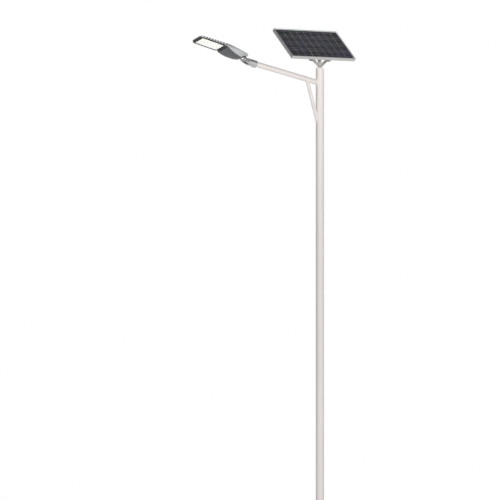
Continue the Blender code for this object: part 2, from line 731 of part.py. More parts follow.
def build_junction_box(tilt):
    back = FRAME_BACK + FRAME_DEPTH - 0.0064
    outline = rounded((-0.045, 0.268), (0.045, 0.338), 0.006, 4)
    box = plate("junction_box", outline, 0.0150, parent=tilt, place=(0, 0, back - 0.0150 - GAP))
    hollow = rounded((-0.042, 0.271), (0.042, 0.335), 0.004, 4)
    carve(box, plate("box_hollow", hollow, 0.012, parent=tilt, place=(0, 0, back - 0.0153 - 0.0002)))
    gland = rod("box_gland", (0, 0.256, back - 0.008), (0, 0.270, back - 0.008), 0.006, 16, parent=tilt)
    fuse(box, gland)
    carve(box, rod("box_gland_bore", (0, 0.250, back - 0.008), (0, 0.273, back - 0.008), 0.0033, 12,
                   parent=tilt))
    finish(box, "black")
    lid = plate("junction_box_lid", outline, 0.0028, parent=tilt, place=(0, 0, back - 0.0184 - GAP))
    finish(lid, "black")


def build_panel_lead(tilt):
    """Lead from the junction box down the back of the panel to the hole in the stem."""
    back = FRAME_BACK + FRAME_DEPTH - 0.0064
    to_panel = Matrix.Rotation(-TILT_REST, 3, "X")
    end = to_panel @ Vector((0, 0.0140, LEAD_HOLE_HEIGHT - TILT_HEIGHT))
    out = end + to_panel @ Vector((0, 0.012, 0))
    route = [(0, 0.272, back - 0.008), (0, 0.240, back - 0.008), (0, 0.200, back - 0.0045),
             (0, 0.120, back - 0.0045), (0, 0.070, back - 0.008), (0, 0.042, 0.004), (0, 0.030, -0.022),
             (0, 0.014, -0.0400), out, end]
    finish(cord("panel_lead", route, 0.003, steps=3, parent=tilt), "rubber")


# ---------------------------------------------------------------- adapter on the arm

def build_adapter(roll):
    """Sleeve clamped on the arm by two screws, ending in the two ears of the knuckle."""
    wall_start = SLEEVE_LENGTH - 0.010
    profile = [(0, SLEEVE_LENGTH), (SLEEVE_RADIUS, SLEEVE_LENGTH), (SLEEVE_RADIUS, 0.001),
               (SLEEVE_RADIUS - 0.001, 0), (SLEEVE_BORE, 0), (SLEEVE_BORE, wall_start), (0, wall_start)]
    sleeve = turned("spigot_adapter", profile, 40, False, parent=roll, turn=(0, math.pi / 2, 0))
    ears = rod("ear_stock", (wall_start + 0.002, 0, 0), (KNUCKLE_REACH + 0.03, 0, 0),
               SLEEVE_RADIUS - 0.0005, 44, parent=roll)
    lower = arc((KNUCKLE_REACH, KNUCKLE_RISE), EAR_RADIUS, -68, 90, 13)
    outline = [(wall_start, -SLEEVE_RADIUS - 0.002), *lower, (wall_start, KNUCKLE_RISE + EAR_RADIUS + 0.003)]
    trim(ears, plate("ear_outline", outline, 0.08, parent=roll, place=(0, 0.04, 0), turn=(math.pi / 2, 0, 0)))
    fuse(sleeve, ears)
    for along in (0.014, 0.038):
        fuse(sleeve, rod("screw_boss", (along, 0, -0.027), (along, 0, -0.0335), 0.0085, 20, parent=roll))
    slot = block("knuckle_slot", (SLEEVE_LENGTH + 0.0007, -LUG_HALF - GAP, -0.05),
                 (0.25, LUG_HALF + GAP, 0.05), parent=roll)
    flats = [block("ear_flat", (SLEEVE_LENGTH + 0.004, y, -0.05), (0.25, y + 0.02, 0.05), parent=roll)
             for y in (0.027, -0.047)]
    bore = rod("knuckle_bore", (KNUCKLE_REACH, -0.04, KNUCKLE_RISE), (KNUCKLE_REACH, 0.04, KNUCKLE_RISE),
               0.0053, 20, parent=roll)
    lead_hole = rod("sleeve_lead_hole", (wall_start - 0.002, 0, 0.006), (SLEEVE_LENGTH + 0.002, 0, 0.006),
                    0.010, 16, parent=roll)
    screws = [rod("screw_hole", (along, 0, -0.022), (along, 0, -0.04), 0.0042, 16, parent=roll)
              for along in (0.014, 0.038)]
    carve(sleeve, slot, *flats, bore, lead_hole, *screws)
    finish(sleeve, "lamp grey")


def build_adapter_fasteners(roll):
    for name, along in (("spigot_screw_outer", 0.014), ("spigot_screw_inner", 0.038)):
        bolt(name, (0, 0, -1), ARM_RADIUS + GAP, 0.0338, 0.004, 0.0065, 0.0053, parent=roll,
             place=(along, 0, 0))
    where = {"parent": roll, "place": (KNUCKLE_REACH, 0, KNUCKLE_RISE)}
    bolt("knuckle_bolt", (0, 1, 0), -0.038, 0.0273, 0.005, 0.0098, 0.0064, **where)
    nut = rod("knuckle_nut", (0, -0.0273, 0), (0, -0.0353, 0), 0.0098, 6, **where)
    carve(nut, rod("nut_bore", (0, -0.02, 0), (0, -0.04, 0), 0.0052, 16, **where))
    finish(nut, "steel")


# ---------------------------------------------------------------- lamp head

def blend_stations(stations, count):
    """Stations on smooth curves through the given ones."""
    samples = []
    last = len(stations) - 1
    for i in range(last):
        before = stations[max(i - 1, 0)]
        start = stations[i]
        end = stations[i + 1]
        after = stations[min(i + 2, last)]
        for step in range(count):
            t = step / count
            row = []
            for a, b, c, d, in zip(before, start, end, after):
                slope_in = (c - a) / 2 if i > 0 else c - b
                slope_out = (d - b) / 2 if i < last - 1 else c - b
                row.append((2 * t ** 3 - 3 * t ** 2 + 1) * b + (t ** 3 - 2 * t ** 2 + t) * slope_in
                           + (3 * t ** 2 - 2 * t ** 3) * c + (t ** 3 - t ** 2) * slope_out)
            samples.append(tuple(row))
    samples.append(stations[-1])
    return samples


def along_stations(stations, x, column):
    """A value of the smoothed table at one distance out."""
    rows = blend_stations(stations, 6)
    for first, second in zip(rows, rows[1:]):
        if first[0] <= x <= second[0]:
            share = (x - first[0]) / (second[0] - first[0])
            return first[column] + share * (second[column] - first[column])
    return rows[0][column] if x < rows[0][0] else rows[-1][column]


def housing_row(x):
    """The housing's station at any distance out."""
    return (x, *[along_stations(HOUSING_STATIONS, x, column) for column in range(1, 5)])


def loft(name, sections, **where):
    """A closed body through sections that all have the same number of points."""
    form = bmesh.new()
    rings = [[form.verts.new(point) for point in section] for section in sections]
    form.faces.new(rings[0])
    form.faces.new(list(reversed(rings[-1])))
    count = len(rings[0])
    for ring, following in zip(rings, rings[1:]):
        for i in range(count):
            j = (i + 1) % count
            form.faces.new((ring[i], following[i], following[j], ring[j]))
    bmesh.ops.triangulate(form, faces=form.faces)
    item = from_form(name, form, **where)
    smooth(item, 35)
    return item


def crown(half_width, rim, top, count=5, power=2.4):
    """The arch over a section from one rim to the other, as (y, z) points."""
    points = []
    for i in range(2 * count + 1):
        angle = math.pi * i / (2 * count)
        share = abs(math.cos(angle)) ** (2 / power)
        rise = abs(math.sin(angle)) ** (2 / power)
        side = 1 if math.cos(angle) >= 0 else -1
        points.append((side * half_width * share, rim + (top - rim) * rise))
    return points


def housing_section(x, rim_half, top, low_half, low, wall=0.0, roof=0.0, reach=0.0):
    """One section of the housing; with a wall it is the hollow inside, open downwards."""
    rim = min(RIM_HEIGHT, top - 0.006)
    arch = crown(rim_half - wall, rim, top - roof)
    middle = ((rim_half + low_half) / 2 - wall + 0.002, (rim + low) / 2)
    right = [(low_half - wall, low - reach), middle]
    left = [(-y, z) for y, z in reversed(right)]
    return [(x, y, z) for y, z in right + arch + left]


def build_housing(head):
    """Cast top of the lamp: fins above, LED pocket and battery compartment below, lug behind."""
    stations = blend_stations(HOUSING_STATIONS, 2)
    housing = loft("lamp_housing", [housing_section(*row) for row in stations], parent=head)

    steps = 7
    inside = [housing_row(0.0413 + (0.2237 - 0.0413) * i / steps) for i in range(steps + 1)]
    hollow = [housing_section(*row, HOUSING_WALL, 0.010, 0.006) for row in inside]
    compartment = loft("compartment_hollow", hollow, parent=head)
    pocket = rounded((0.2455, -0.078), (0.4875, 0.078), 0.014, 4)
    led_pocket = plate("led_pocket", pocket, 0.02, parent=head, place=(0, 0, DECK_LOW - 0.02))
    carve(housing, compartment, led_pocket, *fin_slots(head))

    lug = rod("lug_round", (0, -LUG_HALF, 0), (0, LUG_HALF, 0), 0.017, 28, parent=head)
    web = block("lug_web", (0, -LUG_HALF, -0.010), (0.036, LUG_HALF, 0.017), parent=head)
    fuse(housing, lug, web)
    for along, side, low in ((0.072, 0.017, 0.0363), (0.132, 0.022, 0.0363), (0.150, 0.030, 0.0443),
                             (0.196, 0.030, 0.0443)):
        for y in (-side, side):
            fuse(housing, rod("inner_boss", (along, y, low), (along, y, 0.0600), 0.004, 12, parent=head))
    for y in (-0.0705, 0.0635):
        fuse(housing, block("hinge_lug", (0.2322, y, 0.0276), (0.2388, y + 0.007, 0.0365), parent=head))
    carve(housing,
          rod("lug_bore", (0, -0.02, 0), (0, 0.02, 0), 0.0053, 20, parent=head),
          rod("lead_tunnel", (-0.040, 0, 0.0262), (0.045, 0, 0.0262), 0.0075, 16, parent=head),
          on_cover_axis("hinge_bore", 0.08, 0.00172, parent=head))
    fuse(housing, latch_receiver(head))
    carve(housing, rod("latch_socket", (LATCH_PLACE[0], 0, -0.03), (LATCH_PLACE[0], 0, 0.0105), 0.0036,
                       16, parent=head))
    finish(housing, "lamp grey")


def on_cover_axis(name, half, radius, sides=16, **where):
    """A round bar along the cover's hinge axis."""
    x, z = COVER_AXIS
    return rod(name, (x, -half, z), (x, half, z), radius, sides, **where)


def latch_receiver(head):
    """Boss under the roof that takes the stud of the cover's fastener."""
    return rod("latch_receiver", (LATCH_PLACE[0], 0, 0.002), (LATCH_PLACE[0], 0, 0.060), 0.0065, 16,
               parent=head)


def fin_slots(head):
    """Cutters for the gaps between the cooling fins across the whole top."""
    pitch = 0.0295
    slots = []
    for i in range(9):
        start = 0.2330 + i * pitch
        slots.append(block("fin_gap", (start + 0.0016, -0.079, 0.0465), (start + pitch - 0.0016, 0.079, 0.09),
                           parent=head))
        for y in (-0.10, 0.0781):
            slots.append(block("fin_side_gap", (start + 0.0021, y, 0.0390),
                               (start + pitch - 0.0021, y + 0.0219, 0.09), parent=head))
    for i in range(7):
        start = 0.0265 + i * pitch
        top = along_stations(HOUSING_STATIONS, start + pitch / 2, 2)
        slots.append(block("rib_gap", (start + 0.0016, -0.10, top - 0.0060),
                           (start + pitch - 0.0016, 0.10, 0.09), parent=head))
    return slots


def build_light(head):
    """Bezel, seal, window, lens plate and LED board, from the outside inwards."""
    outer = rounded((BEZEL_REAR, -BEZEL_HALF), (BEZEL_FRONT, BEZEL_HALF), 0.024, 7)
    opening = rounded((WINDOW_REAR, -WINDOW_HALF), (WINDOW_FRONT, WINDOW_HALF), 0.010, 5)
    bezel = plate("led_bezel", outer, BEZEL_THICK, [opening], parent=head, place=(0, 0, BEZEL_LOW))
    recess = rounded((0.2458, -0.0776), (0.4872, 0.0776), 0.013, 4)
    carve(bezel, plate("bezel_recess", recess, 0.01, parent=head, place=(0, 0, BEZEL_LOW + 0.0028)))
    finish(bezel, "black")
    layers = (("window_seal", 0.0311, 0.0012, 0.0010, "rubber"),
              ("led_window", 0.0326, 0.0030, 0.0012, "glass"),
              ("lens_plate", 0.0372, 0.0022, 0.0100, "lens"),
              ("led_board", 0.0398, 0.0020, 0.0060, "white"))
    for name, low, thick, inset, kind in layers:
        sheet = rounded((0.2458 + inset, -0.0776 + inset), (0.4872 - inset, 0.0776 - inset), 0.011, 4)
        holes = []
        if name == "window_seal":
            holes = [rounded((WINDOW_REAR - 0.003, -WINDOW_HALF - 0.003),
                             (WINDOW_FRONT + 0.003, WINDOW_HALF + 0.003), 0.010, 4)]
        finish(plate(name, sheet, thick, holes, parent=head, place=(0, 0, low)), kind)


def build_compartment_contents(head):
    pack = block("battery_pack", (0.140, -0.058, 0.0102), (0.206, 0.058, 0.044), parent=head)
    soften(pack, 0.005)
    finish(pack, "battery blue")
    outer = 0.0604
    inner = 0.0592
    right = [(0.0666, 0.0465), (0.0666, 0.0453), (outer, 0.0453), (outer, 0.0077)]
    inside = [(-inner, 0.0465), (-inner, 0.0089), (inner, 0.0089), (inner, 0.0465)]
    outline = right + [(-y, z) for y, z in reversed(right)] + inside
    strap = plate("battery_strap", outline, 0.016, parent=head, place=(0.160, 0, 0),
                  turn=(math.pi / 2, 0, math.pi / 2))
    finish(strap, "galvanised")
    controller = block("charge_controller", (0.066, -0.026, 0.0150), (0.1365, 0.026, 0.0360), parent=head)
    carve(controller, rod("controller_relief", (LATCH_PLACE[0], 0, 0), (LATCH_PLACE[0], 0, 0.05), 0.0085, 20,
                          parent=head))
    soften(controller, 0.002)
    finish(controller, "aluminium")


def soften(item, width, segments=2):
    edge = item.modifiers.new("edges", "BEVEL")
    edge.width = width
    edge.segments = segments
    edge.limit_method = "ANGLE"


def build_lamp_lead(head):
    """Lead from the end of the arm, over the knuckle and through the tunnel into the compartment."""
    sag = -KNUCKLE_RISE
    start = ARM_END - MOUTH - KNUCKLE_REACH + GAP
    route = [(start, 0, sag), (start + 0.012, 0, sag + 0.004), (-0.048, 0, 0.003), (-0.036, 0, 0.0165),
             (-0.022, 0, 0.0240), (0, 0, 0.0262), (0.030, 0, 0.0262), (0.0555, 0, 0.0262)]
    finish(cord("lamp_lead", route, 0.0030, steps=4, parent=head), "rubber")
    gland = turned("cable_gland", [(0.0034, 0.0525), (0.0082, 0.0525), (0.0098, 0.0452), (0.0098, 0.0420),
                                   (0.0070, 0.0420), (0.0070, 0.0290), (0.0034, 0.0290)], 20, parent=head,
                   place=(0, 0, 0.0262), turn=(0, math.pi / 2, 0))
    finish(gland, "black")


def cover_section(x, belly, wall=0.0):
    """One section of the compartment cover: a boat shape below the housing's edge."""
    half = along_stations(HOUSING_STATIONS, x, 3) - wall
    edge = along_stations(HOUSING_STATIONS, x, 4) - 0.0032
    arch = crown(half, edge, belly + wall, 6, 3.2)
    if wall:
        arch = [(half, edge + 0.004), *arch, (-half, edge + 0.004)]
    return [(x, y, z) for y, z in arch]


def build_cover(cover, latch):
    """Compartment cover with its hinge barrel, its seal and the quarter-turn fastener."""
    shift = {"parent": cover, "place": (-COVER_AXIS[0], 0, -COVER_AXIS[1])}
    stations = blend_stations([(x, depth, 0, 0) for x, depth in COVER_STATIONS], 3)
    shell = loft("compartment_cover", [cover_section(x, depth) for x, depth, _, _ in stations], **shift)
    inside = [(x, depth) for x, depth, _, _ in stations if 0.0395 < x < 0.2265]
    hollow = loft("cover_hollow", [cover_section(x, depth, COVER_WALL) for x, depth in inside], **shift)
    carve(shell, hollow)
    barrel = on_cover_axis("cover_barrel", 0.062, 0.0030, 20, **shift)
    apron = block("cover_apron", (0.2282, -0.062, 0.0262), (0.2355, 0.062, 0.0296), **shift)
    fuse(shell, apron, barrel)
    boss = rod("latch_boss", (LATCH_PLACE[0], 0, -0.0195), (LATCH_PLACE[0], 0, -0.008), 0.0080, 20, **shift)
    fuse(shell, boss)
    carve(shell, on_cover_axis("cover_barrel_bore", 0.08, 0.00185, **shift),
          rod("latch_bore", (LATCH_PLACE[0], 0, -0.03), (LATCH_PLACE[0], 0, 0), 0.0034, 16, **shift),
          rod("latch_recess", (LATCH_PLACE[0], 0, -0.04), (LATCH_PLACE[0], 0, -0.0165), 0.0072, 24, **shift))
    finish(shell, "cover grey")
    build_cover_seal(shift)

    head_low = -0.0210
    stud = rod("cover_latch", (0, 0, head_low + 0.001), (0, 0, 0.0075), 0.0030, 16, parent=latch)
    knob = rod("latch_head", (0, 0, head_low), (0, 0, -0.0168), 0.0066, 24, parent=latch)
    fuse(stud, knob)
    carve(stud, block("latch_groove", (-0.0050, -0.0008, -0.03), (0.0050, 0.0008, head_low + 0.0018),
                      parent=latch))
    finish(stud, "steel")


def build_cover_seal(shift):
    """Cord seal lying between the cover's edge and the housing."""
    steps = 9
    side = []
    for i in range(steps + 1):
        x = 0.0460 + (0.2210 - 0.0460) * i / steps
        half = along_stations(HOUSING_STATIONS, x, 3) - 0.0015
        side.append((x, half, along_stations(HOUSING_STATIONS, x, 4) - 0.0018))
    route = side + [(x, -half, z) for x, half, z in reversed(side)]
    seal = cord("cover_seal", route, 0.0008, steps=2, cyclic=True, parent=shift["parent"])
    seal.location = shift["place"]
    seal.data.bevel_resolution = 1
    finish(seal, "rubber")


def build_cover_pin(head):
    finish(on_cover_axis("cover_hinge_pin", 0.0725, 0.0016, parent=head), "steel")


# ---------------------------------------------------------------- assembly

def build_pole_and_arm():
    arm = frame_at("arm_axis", (0, 0, ARM_ROOT_HEIGHT), (0, -ARM_PITCH, math.pi))
    build_base_flange()
    build_pole_tube()
    build_pole_cap()
    build_swivel_lock_bolt()
    build_arm_tube(arm)
    build_brace_tube(arm)
    build_feed_cable()
    build_earth_stud()
    return arm


def build_service_door():
    x, y = hinge_point()
    hinge = frame_at("door_axis", (x, y, 0))
    lock = frame_at("door_lock_axis", (-x, -DOOR_INNER - DOOR_THICK + 0.010 - y, DOOR_MIDDLE), parent=hinge)
    build_door_hinge()
    build_pole_door(hinge)
    build_door_lock(lock)
    build_lock_bar()


def build_top():
    swivel = frame_at("swivel_axis", (0, 0, POLE_TOP))
    tilt = frame_at("tilt_axis", (0, 0, TILT_HEIGHT - POLE_TOP), (TILT_REST, 0, 0), swivel)
    build_bracket(swivel)
    build_bracket_bolts(swivel)
    build_stem_lead(swivel)
    build_rails(tilt)
    build_panel(tilt)
    build_junction_box(tilt)
    build_panel_lead(tilt)


def build_lamp(arm):
    roll = frame_at("roll_axis", (MOUTH, 0, 0), (LAMP_ROLL, 0, 0), arm)
    head = frame_at("knuckle_axis", (KNUCKLE_REACH, 0, KNUCKLE_RISE), (0, ARM_PITCH - LAMP_PITCH, 0), roll)
    cover = frame_at("cover_axis", (COVER_AXIS[0], 0, COVER_AXIS[1]), parent=head)
    latch = frame_at("latch_axis", (LATCH_PLACE[0] - COVER_AXIS[0], 0, -COVER_AXIS[1]), parent=cover)
    build_adapter(roll)
    build_adapter_fasteners(roll)
    build_housing(head)
    build_light(head)
    build_compartment_contents(head)
    build_lamp_lead(head)
    build_cover(cover, latch)
    build_cover_pin(head)


def main():
    arm = build_pole_and_arm()
    build_service_door()
    build_top()
    build_lamp(arm)


main()
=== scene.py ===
"""Looks of the solar street lamp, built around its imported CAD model.

Metres, +Z up.  The arm reaches along -X and the low edge of the panel faces -Y.
"""

import json
import math

import bmesh
import bpy
from mathutils import Matrix, Vector

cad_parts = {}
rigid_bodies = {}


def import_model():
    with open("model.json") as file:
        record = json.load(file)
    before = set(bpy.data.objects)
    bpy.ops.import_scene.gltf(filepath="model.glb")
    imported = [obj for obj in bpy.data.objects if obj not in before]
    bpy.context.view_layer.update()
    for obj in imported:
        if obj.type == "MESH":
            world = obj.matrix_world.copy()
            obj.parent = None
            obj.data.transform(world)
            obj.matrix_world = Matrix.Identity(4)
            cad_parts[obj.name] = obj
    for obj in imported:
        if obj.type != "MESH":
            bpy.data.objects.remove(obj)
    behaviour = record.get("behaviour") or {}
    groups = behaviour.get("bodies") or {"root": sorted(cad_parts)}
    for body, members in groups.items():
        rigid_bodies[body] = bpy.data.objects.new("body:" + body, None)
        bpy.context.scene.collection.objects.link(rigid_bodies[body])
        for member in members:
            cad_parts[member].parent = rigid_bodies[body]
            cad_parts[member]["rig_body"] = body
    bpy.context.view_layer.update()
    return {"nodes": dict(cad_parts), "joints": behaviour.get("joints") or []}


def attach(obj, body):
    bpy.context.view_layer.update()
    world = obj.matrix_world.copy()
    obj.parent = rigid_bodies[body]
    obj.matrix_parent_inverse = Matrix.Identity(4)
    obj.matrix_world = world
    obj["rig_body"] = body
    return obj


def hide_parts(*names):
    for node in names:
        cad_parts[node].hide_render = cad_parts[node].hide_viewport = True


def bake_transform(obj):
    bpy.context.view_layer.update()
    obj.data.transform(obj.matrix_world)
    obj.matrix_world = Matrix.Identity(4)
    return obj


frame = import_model()
NODES = frame["nodes"]
JOINTS = {joint["name"]: joint for joint in frame["joints"]}
NODE_BODY = {name: item["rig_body"] for name, item in NODES.items()}
NODE_SLOT = {name: item.data.materials[0].name for name, item in NODES.items()}

# ---------------------------------------------------------------- frames of the moving groups


def place_of(joint):
    """The point that a joint turns about."""
    return Vector(JOINTS[joint]["pos_m"])


def axis_of(joint):
    """The direction that a joint turns about."""
    return Vector(JOINTS[joint]["axis"]).normalized()


def axes(origin, x, y):
    """The frame with this origin, x axis and y axis."""
    z = x.cross(y).normalized()
    turn = Matrix((x, y, z)).transposed().to_4x4()
    return Matrix.Translation(origin) @ turn


HEAD_Y = axis_of("lamp_tilt")
HEAD = axes(place_of("lamp_tilt"), -HEAD_Y.cross(axis_of("cover_latch_turn")), HEAD_Y)
ARM = axes(place_of("lamp_roll"), axis_of("lamp_roll"), Vector((0, -1, 0)))
PANEL_SLOPE = math.radians(39)
PANEL = Matrix.Translation(place_of("panel_tilt")) @ Matrix.Rotation(PANEL_SLOPE, 4, "X")
WORLD = Matrix.Identity(4)

# ---------------------------------------------------------------- materials


class Shade:
    """A material whose nodes are added one by one; inputs take a value or another node's output."""

    def __init__(self, name):
        self.material = bpy.data.materials.new(name)
        self.material.use_nodes = True
        self.tree = self.material.node_tree
        self.shader = self.tree.nodes["Principled BSDF"]
        self.coords = self.node("ShaderNodeTexCoord").outputs["Object"]

    def node(self, kind, settings=None, **inputs):
        made = self.tree.nodes.new(kind)
        for key, value in (settings or {}).items():
            setattr(made, key, value)
        for key, value in inputs.items():
            self.feed(made, key.replace("_", " "), value)
        return made

    def feed(self, node, key, value):
        socket = node.inputs[key]
        if isinstance(value, bpy.types.NodeSocket):
            self.tree.links.new(value, socket)
        else:
            socket.default_value = value

    def set(self, **inputs):
        for key, value in inputs.items():
            self.feed(self.shader, key.replace("_", " "), value)

    def mapped(self, scale=(1, 1, 1), turn=(0, 0, 0)):
        made = self.node("ShaderNodeMapping", Vector=self.coords)
        made.inputs["Scale"].default_value = scale
        made.inputs["Rotation"].default_value = turn
        return made.outputs["Vector"]

    def noise(self, scale, vector=None, detail=4.0, rough=0.55):
        return self.node("ShaderNodeTexNoise", Vector=vector or self.coords, Scale=scale, Detail=detail,
                         Roughness=rough).outputs["Fac"]

    def ranged(self, value, low, high, start=0.3, end=0.7):
        made = self.node("ShaderNodeMapRange", Value=value)
        for key, number in (("From Min", start), ("From Max", end), ("To Min", low), ("To Max", high)):
            made.inputs[key].default_value = number
        return made.outputs["Result"]

    def mix(self, share, first, second, blend="MIX"):
        made = self.node("ShaderNodeMix", {"data_type": "RGBA", "blend_type": blend})
        for socket, value in ((made.inputs[0], share), (made.inputs[6], first), (made.inputs[7], second)):
            if isinstance(value, bpy.types.NodeSocket):
                self.tree.links.new(value, socket)
            else:
                socket.default_value = value if socket == made.inputs[0] else (*value, 1)
        return made.outputs[2]

    def sum(self, kind, first, second):
        made = self.node("ShaderNodeMath", {"operation": kind})
        for socket, value in zip(made.inputs, (first, second)):
            if isinstance(value, bpy.types.NodeSocket):
                self.tree.links.new(value, socket)
            else:
                socket.default_value = value
        return made.outputs[0]

    def bump(self, height, depth, strength=1.0):
        made = self.node("ShaderNodeBump", Height=height, Strength=strength, Distance=depth)
        self.set(Normal=made.outputs["Normal"])


def coated(name, colour, second, rough, metal=0.0, patch=9.0, grain=900.0, depth=0.00006,
           stretch=(1, 1, 1), turn=(0, 0, 0), **extra):
    """A surface with soft patches of a second colour, uneven gloss and a fine grain."""
    shade = Shade(name)
    where = shade.mapped(stretch, turn)
    patches = shade.noise(patch, where, 5.0)
    fine = shade.noise(grain, where, 3.0)
    share = shade.ranged(patches, 0.0, 1.0, 0.32, 0.68)
    speckle = shade.ranged(fine, 0.94, 1.05)
    tint = shade.mix(share, colour, second)
    both = shade.mix(1.0, tint, (1, 1, 1), "MULTIPLY")
    shade.tree.links.new(speckle, both.node.inputs[7])
    shade.set(Base_Color=both, Roughness=shade.ranged(patches, rough[0], rough[1]), Metallic=metal, **extra)
    shade.bump(fine, depth)
    return shade


def pole_paint():
    """Warm off-white powder coat: orange peel, faint rain streaks, dust near the ground."""
    shade = coated("pole_paint", (0.88, 0.825, 0.805), (0.85, 0.795, 0.77), (0.34, 0.46), patch=2.2,
                   grain=420.0, depth=0.00012, stretch=(1, 1, 0.35))
    height = shade.node("ShaderNodeSeparateXYZ", Vector=shade.coords).outputs["Z"]
    streak = shade.noise(55.0, shade.mapped((1, 1, 0.02)), 3.0)
    splash = shade.sum("MULTIPLY", shade.ranged(height, 0.75, 0.0, 0.02, 0.55), shade.noise(26.0))
    dust = shade.sum("ADD", splash, shade.ranged(streak, 0.0, 0.10, 0.5, 0.75))
    clean = shade.shader.inputs["Base Color"].links[0].from_socket
    shade.set(Base_Color=shade.mix(dust, clean, (0.47, 0.41, 0.34)), Coat_Weight=0.12, Coat_Roughness=0.25)
    return shade


def galvanised():
    """Hot-dip zinc: angular spangle in several greys, dull where it has weathered."""
    shade = Shade("galvanised")
    warp = shade.node("ShaderNodeTexNoise", Vector=shade.coords, Scale=60.0, Detail=2.0).outputs["Color"]
    moved = shade.node("ShaderNodeVectorMath", {"operation": "MULTIPLY_ADD"})
    shade.tree.links.new(warp, moved.inputs[0])
    moved.inputs[1].default_value = (0.006, 0.006, 0.006)
    shade.tree.links.new(shade.coords, moved.inputs[2])
    crystal = shade.node("ShaderNodeTexVoronoi", Vector=moved.outputs["Vector"], Scale=150.0)
    grey = shade.node("ShaderNodeSeparateColor", Color=crystal.outputs["Color"]).outputs["Red"]
    weather = shade.noise(14.0, detail=6.0)
    zinc = shade.mix(shade.ranged(grey, 0.0, 1.0, 0.1, 0.9), (0.44, 0.42, 0.405), (0.58, 0.56, 0.545))
    shade.set(Base_Color=shade.mix(shade.ranged(weather, 0.0, 0.6), zinc, (0.60, 0.585, 0.57)),
              Roughness=shade.ranged(grey, 0.36, 0.58, 0.0, 1.0), Metallic=0.62)
    shade.bump(shade.noise(260.0, detail=5.0), 0.00015)
    return shade


def cells():
    """Polycrystalline silicon under its blue coating: large grains, fine printed fingers."""
    shade = Shade("solar_cells")
    warp = shade.node("ShaderNodeTexNoise", Vector=shade.coords, Scale=25.0, Detail=3.0).outputs["Color"]
    moved = shade.node("ShaderNodeVectorMath", {"operation": "MULTIPLY_ADD"})
    shade.tree.links.new(warp, moved.inputs[0])
    moved.inputs[1].default_value = (0.030, 0.030, 0.0)
    shade.tree.links.new(shade.coords, moved.inputs[2])
    grains = shade.node("ShaderNodeTexVoronoi", Vector=moved.outputs["Vector"], Scale=58.0)
    grey = shade.node("ShaderNodeSeparateColor", Color=grains.outputs["Color"]).outputs["Red"]
    large = shade.noise(5.5, detail=3.0)
    island = shade.node("ShaderNodeNewGeometry").outputs["Random Per Island"]
    blue = shade.sum("MULTIPLY", shade.ranged(large, 0.0, 1.0, 0.40, 0.66),
                     shade.ranged(grey, 0.15, 1.0, 0.0, 1.0))
    dark = shade.mix(shade.ranged(grey, 0.0, 1.0, 0.0, 1.0), (0.010, 0.008, 0.009), (0.023, 0.017, 0.020))
    tinted = shade.mix(blue, dark, (0.040, 0.030, 0.082))
    warm = shade.mix(shade.ranged(island, 0.0, 0.35, 0.0, 1.0), tinted, (0.040, 0.022, 0.030))
    wave = shade.node("ShaderNodeTexWave", {"wave_type": "BANDS", "bands_direction": "X"},
                      Vector=shade.coords, Scale=68.0, Distortion=0.0)
    finger = shade.ranged(wave.outputs["Fac"], 0.0, 0.35, 0.965, 1.0)
    shade.set(Base_Color=shade.mix(finger, warm, (0.30, 0.30, 0.33)),
              Roughness=shade.ranged(grey, 0.30, 0.48, 0.0, 1.0), Specular_IOR_Level=0.35)
    return shade


def see_through(name, colour, rough, ior, specular):
    """Glass that lets lamps light what lies behind it."""
    shade = Shade(name)
    smear = shade.noise(7.0, detail=6.0)
    shade.set(Base_Color=colour, Roughness=shade.ranged(smear, rough, rough * 2.2),
              Transmission_Weight=1.0, IOR=ior, Specular_IOR_Level=specular)
    shade.bump(shade.noise(240.0, detail=2.0), 0.000012)
    path = shade.node("ShaderNodeLightPath")
    clear = shade.node("ShaderNodeBsdfTransparent", Color=(0.96, 0.97, 0.97, 1))
    both = shade.node("ShaderNodeMixShader")
    shade.tree.links.new(path.outputs["Is Shadow Ray"], both.inputs[0])
    shade.tree.links.new(shade.shader.outputs[0], both.inputs[1])
    shade.tree.links.new(clear.outputs[0], both.inputs[2])
    shade.tree.links.new(both.outputs[0], shade.tree.nodes["Material Output"].inputs["Surface"])
    return shade


def led_lens():
    """Moulded lenses over the phosphor: cream yellow at the crown of each dome, white between; plate and
    domes also glow faintly in that colour, a painted glow standing in for light.
    """
    shade = Shade("led_lens")
    low = dome_tip_height()
    height = shade.node("ShaderNodeSeparateXYZ", Vector=shade.coords).outputs["Z"]
    crown_share = shade.ranged(height, 1.0, 0.0, low, low + LENS_RISE)
    cloud = shade.ranged(shade.noise(90.0), 0.0, 0.35)
    glow = shade.mix(cloud, (0.97, 0.94, 0.73), (0.96, 0.92, 0.66))
    tint = shade.mix(crown_share, (0.96, 0.955, 0.93), glow)
    # Painted glow: the emission lights the white plate and the domes in their own colour to brighten them; it
    # is not light from a lamp.
    shade.set(Base_Color=tint, Emission_Color=tint, Emission_Strength=0.42, Roughness=0.40)
    shade.bump(shade.noise(500.0), 0.00002)
    return shade


# ---------------------------------------------------------------- building blocks


def made(name, form, body, slot, material, place=WORLD, stands_for=(), limit=35, weighted=False):
    """Puts a bmesh in the scene as a smooth piece that rides on a body."""
    bmesh.ops.recalc_face_normals(form, faces=form.faces)
    mesh = bpy.data.meshes.new(name)
    form.to_mesh(mesh)
    form.free()
    mesh.shade_smooth()
    mesh.set_sharp_from_angle(angle=math.radians(limit))
    item = bpy.data.objects.new(name, mesh)
    bpy.context.scene.collection.objects.link(item)
    item.matrix_world = place
    mesh.materials.append(material)
    if weighted:
        even = item.modifiers.new("even_shading", "WEIGHTED_NORMAL")
        even.keep_sharp = True
    if body:
        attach(item, body)
    if stands_for:
        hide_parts(*stands_for)
    return item


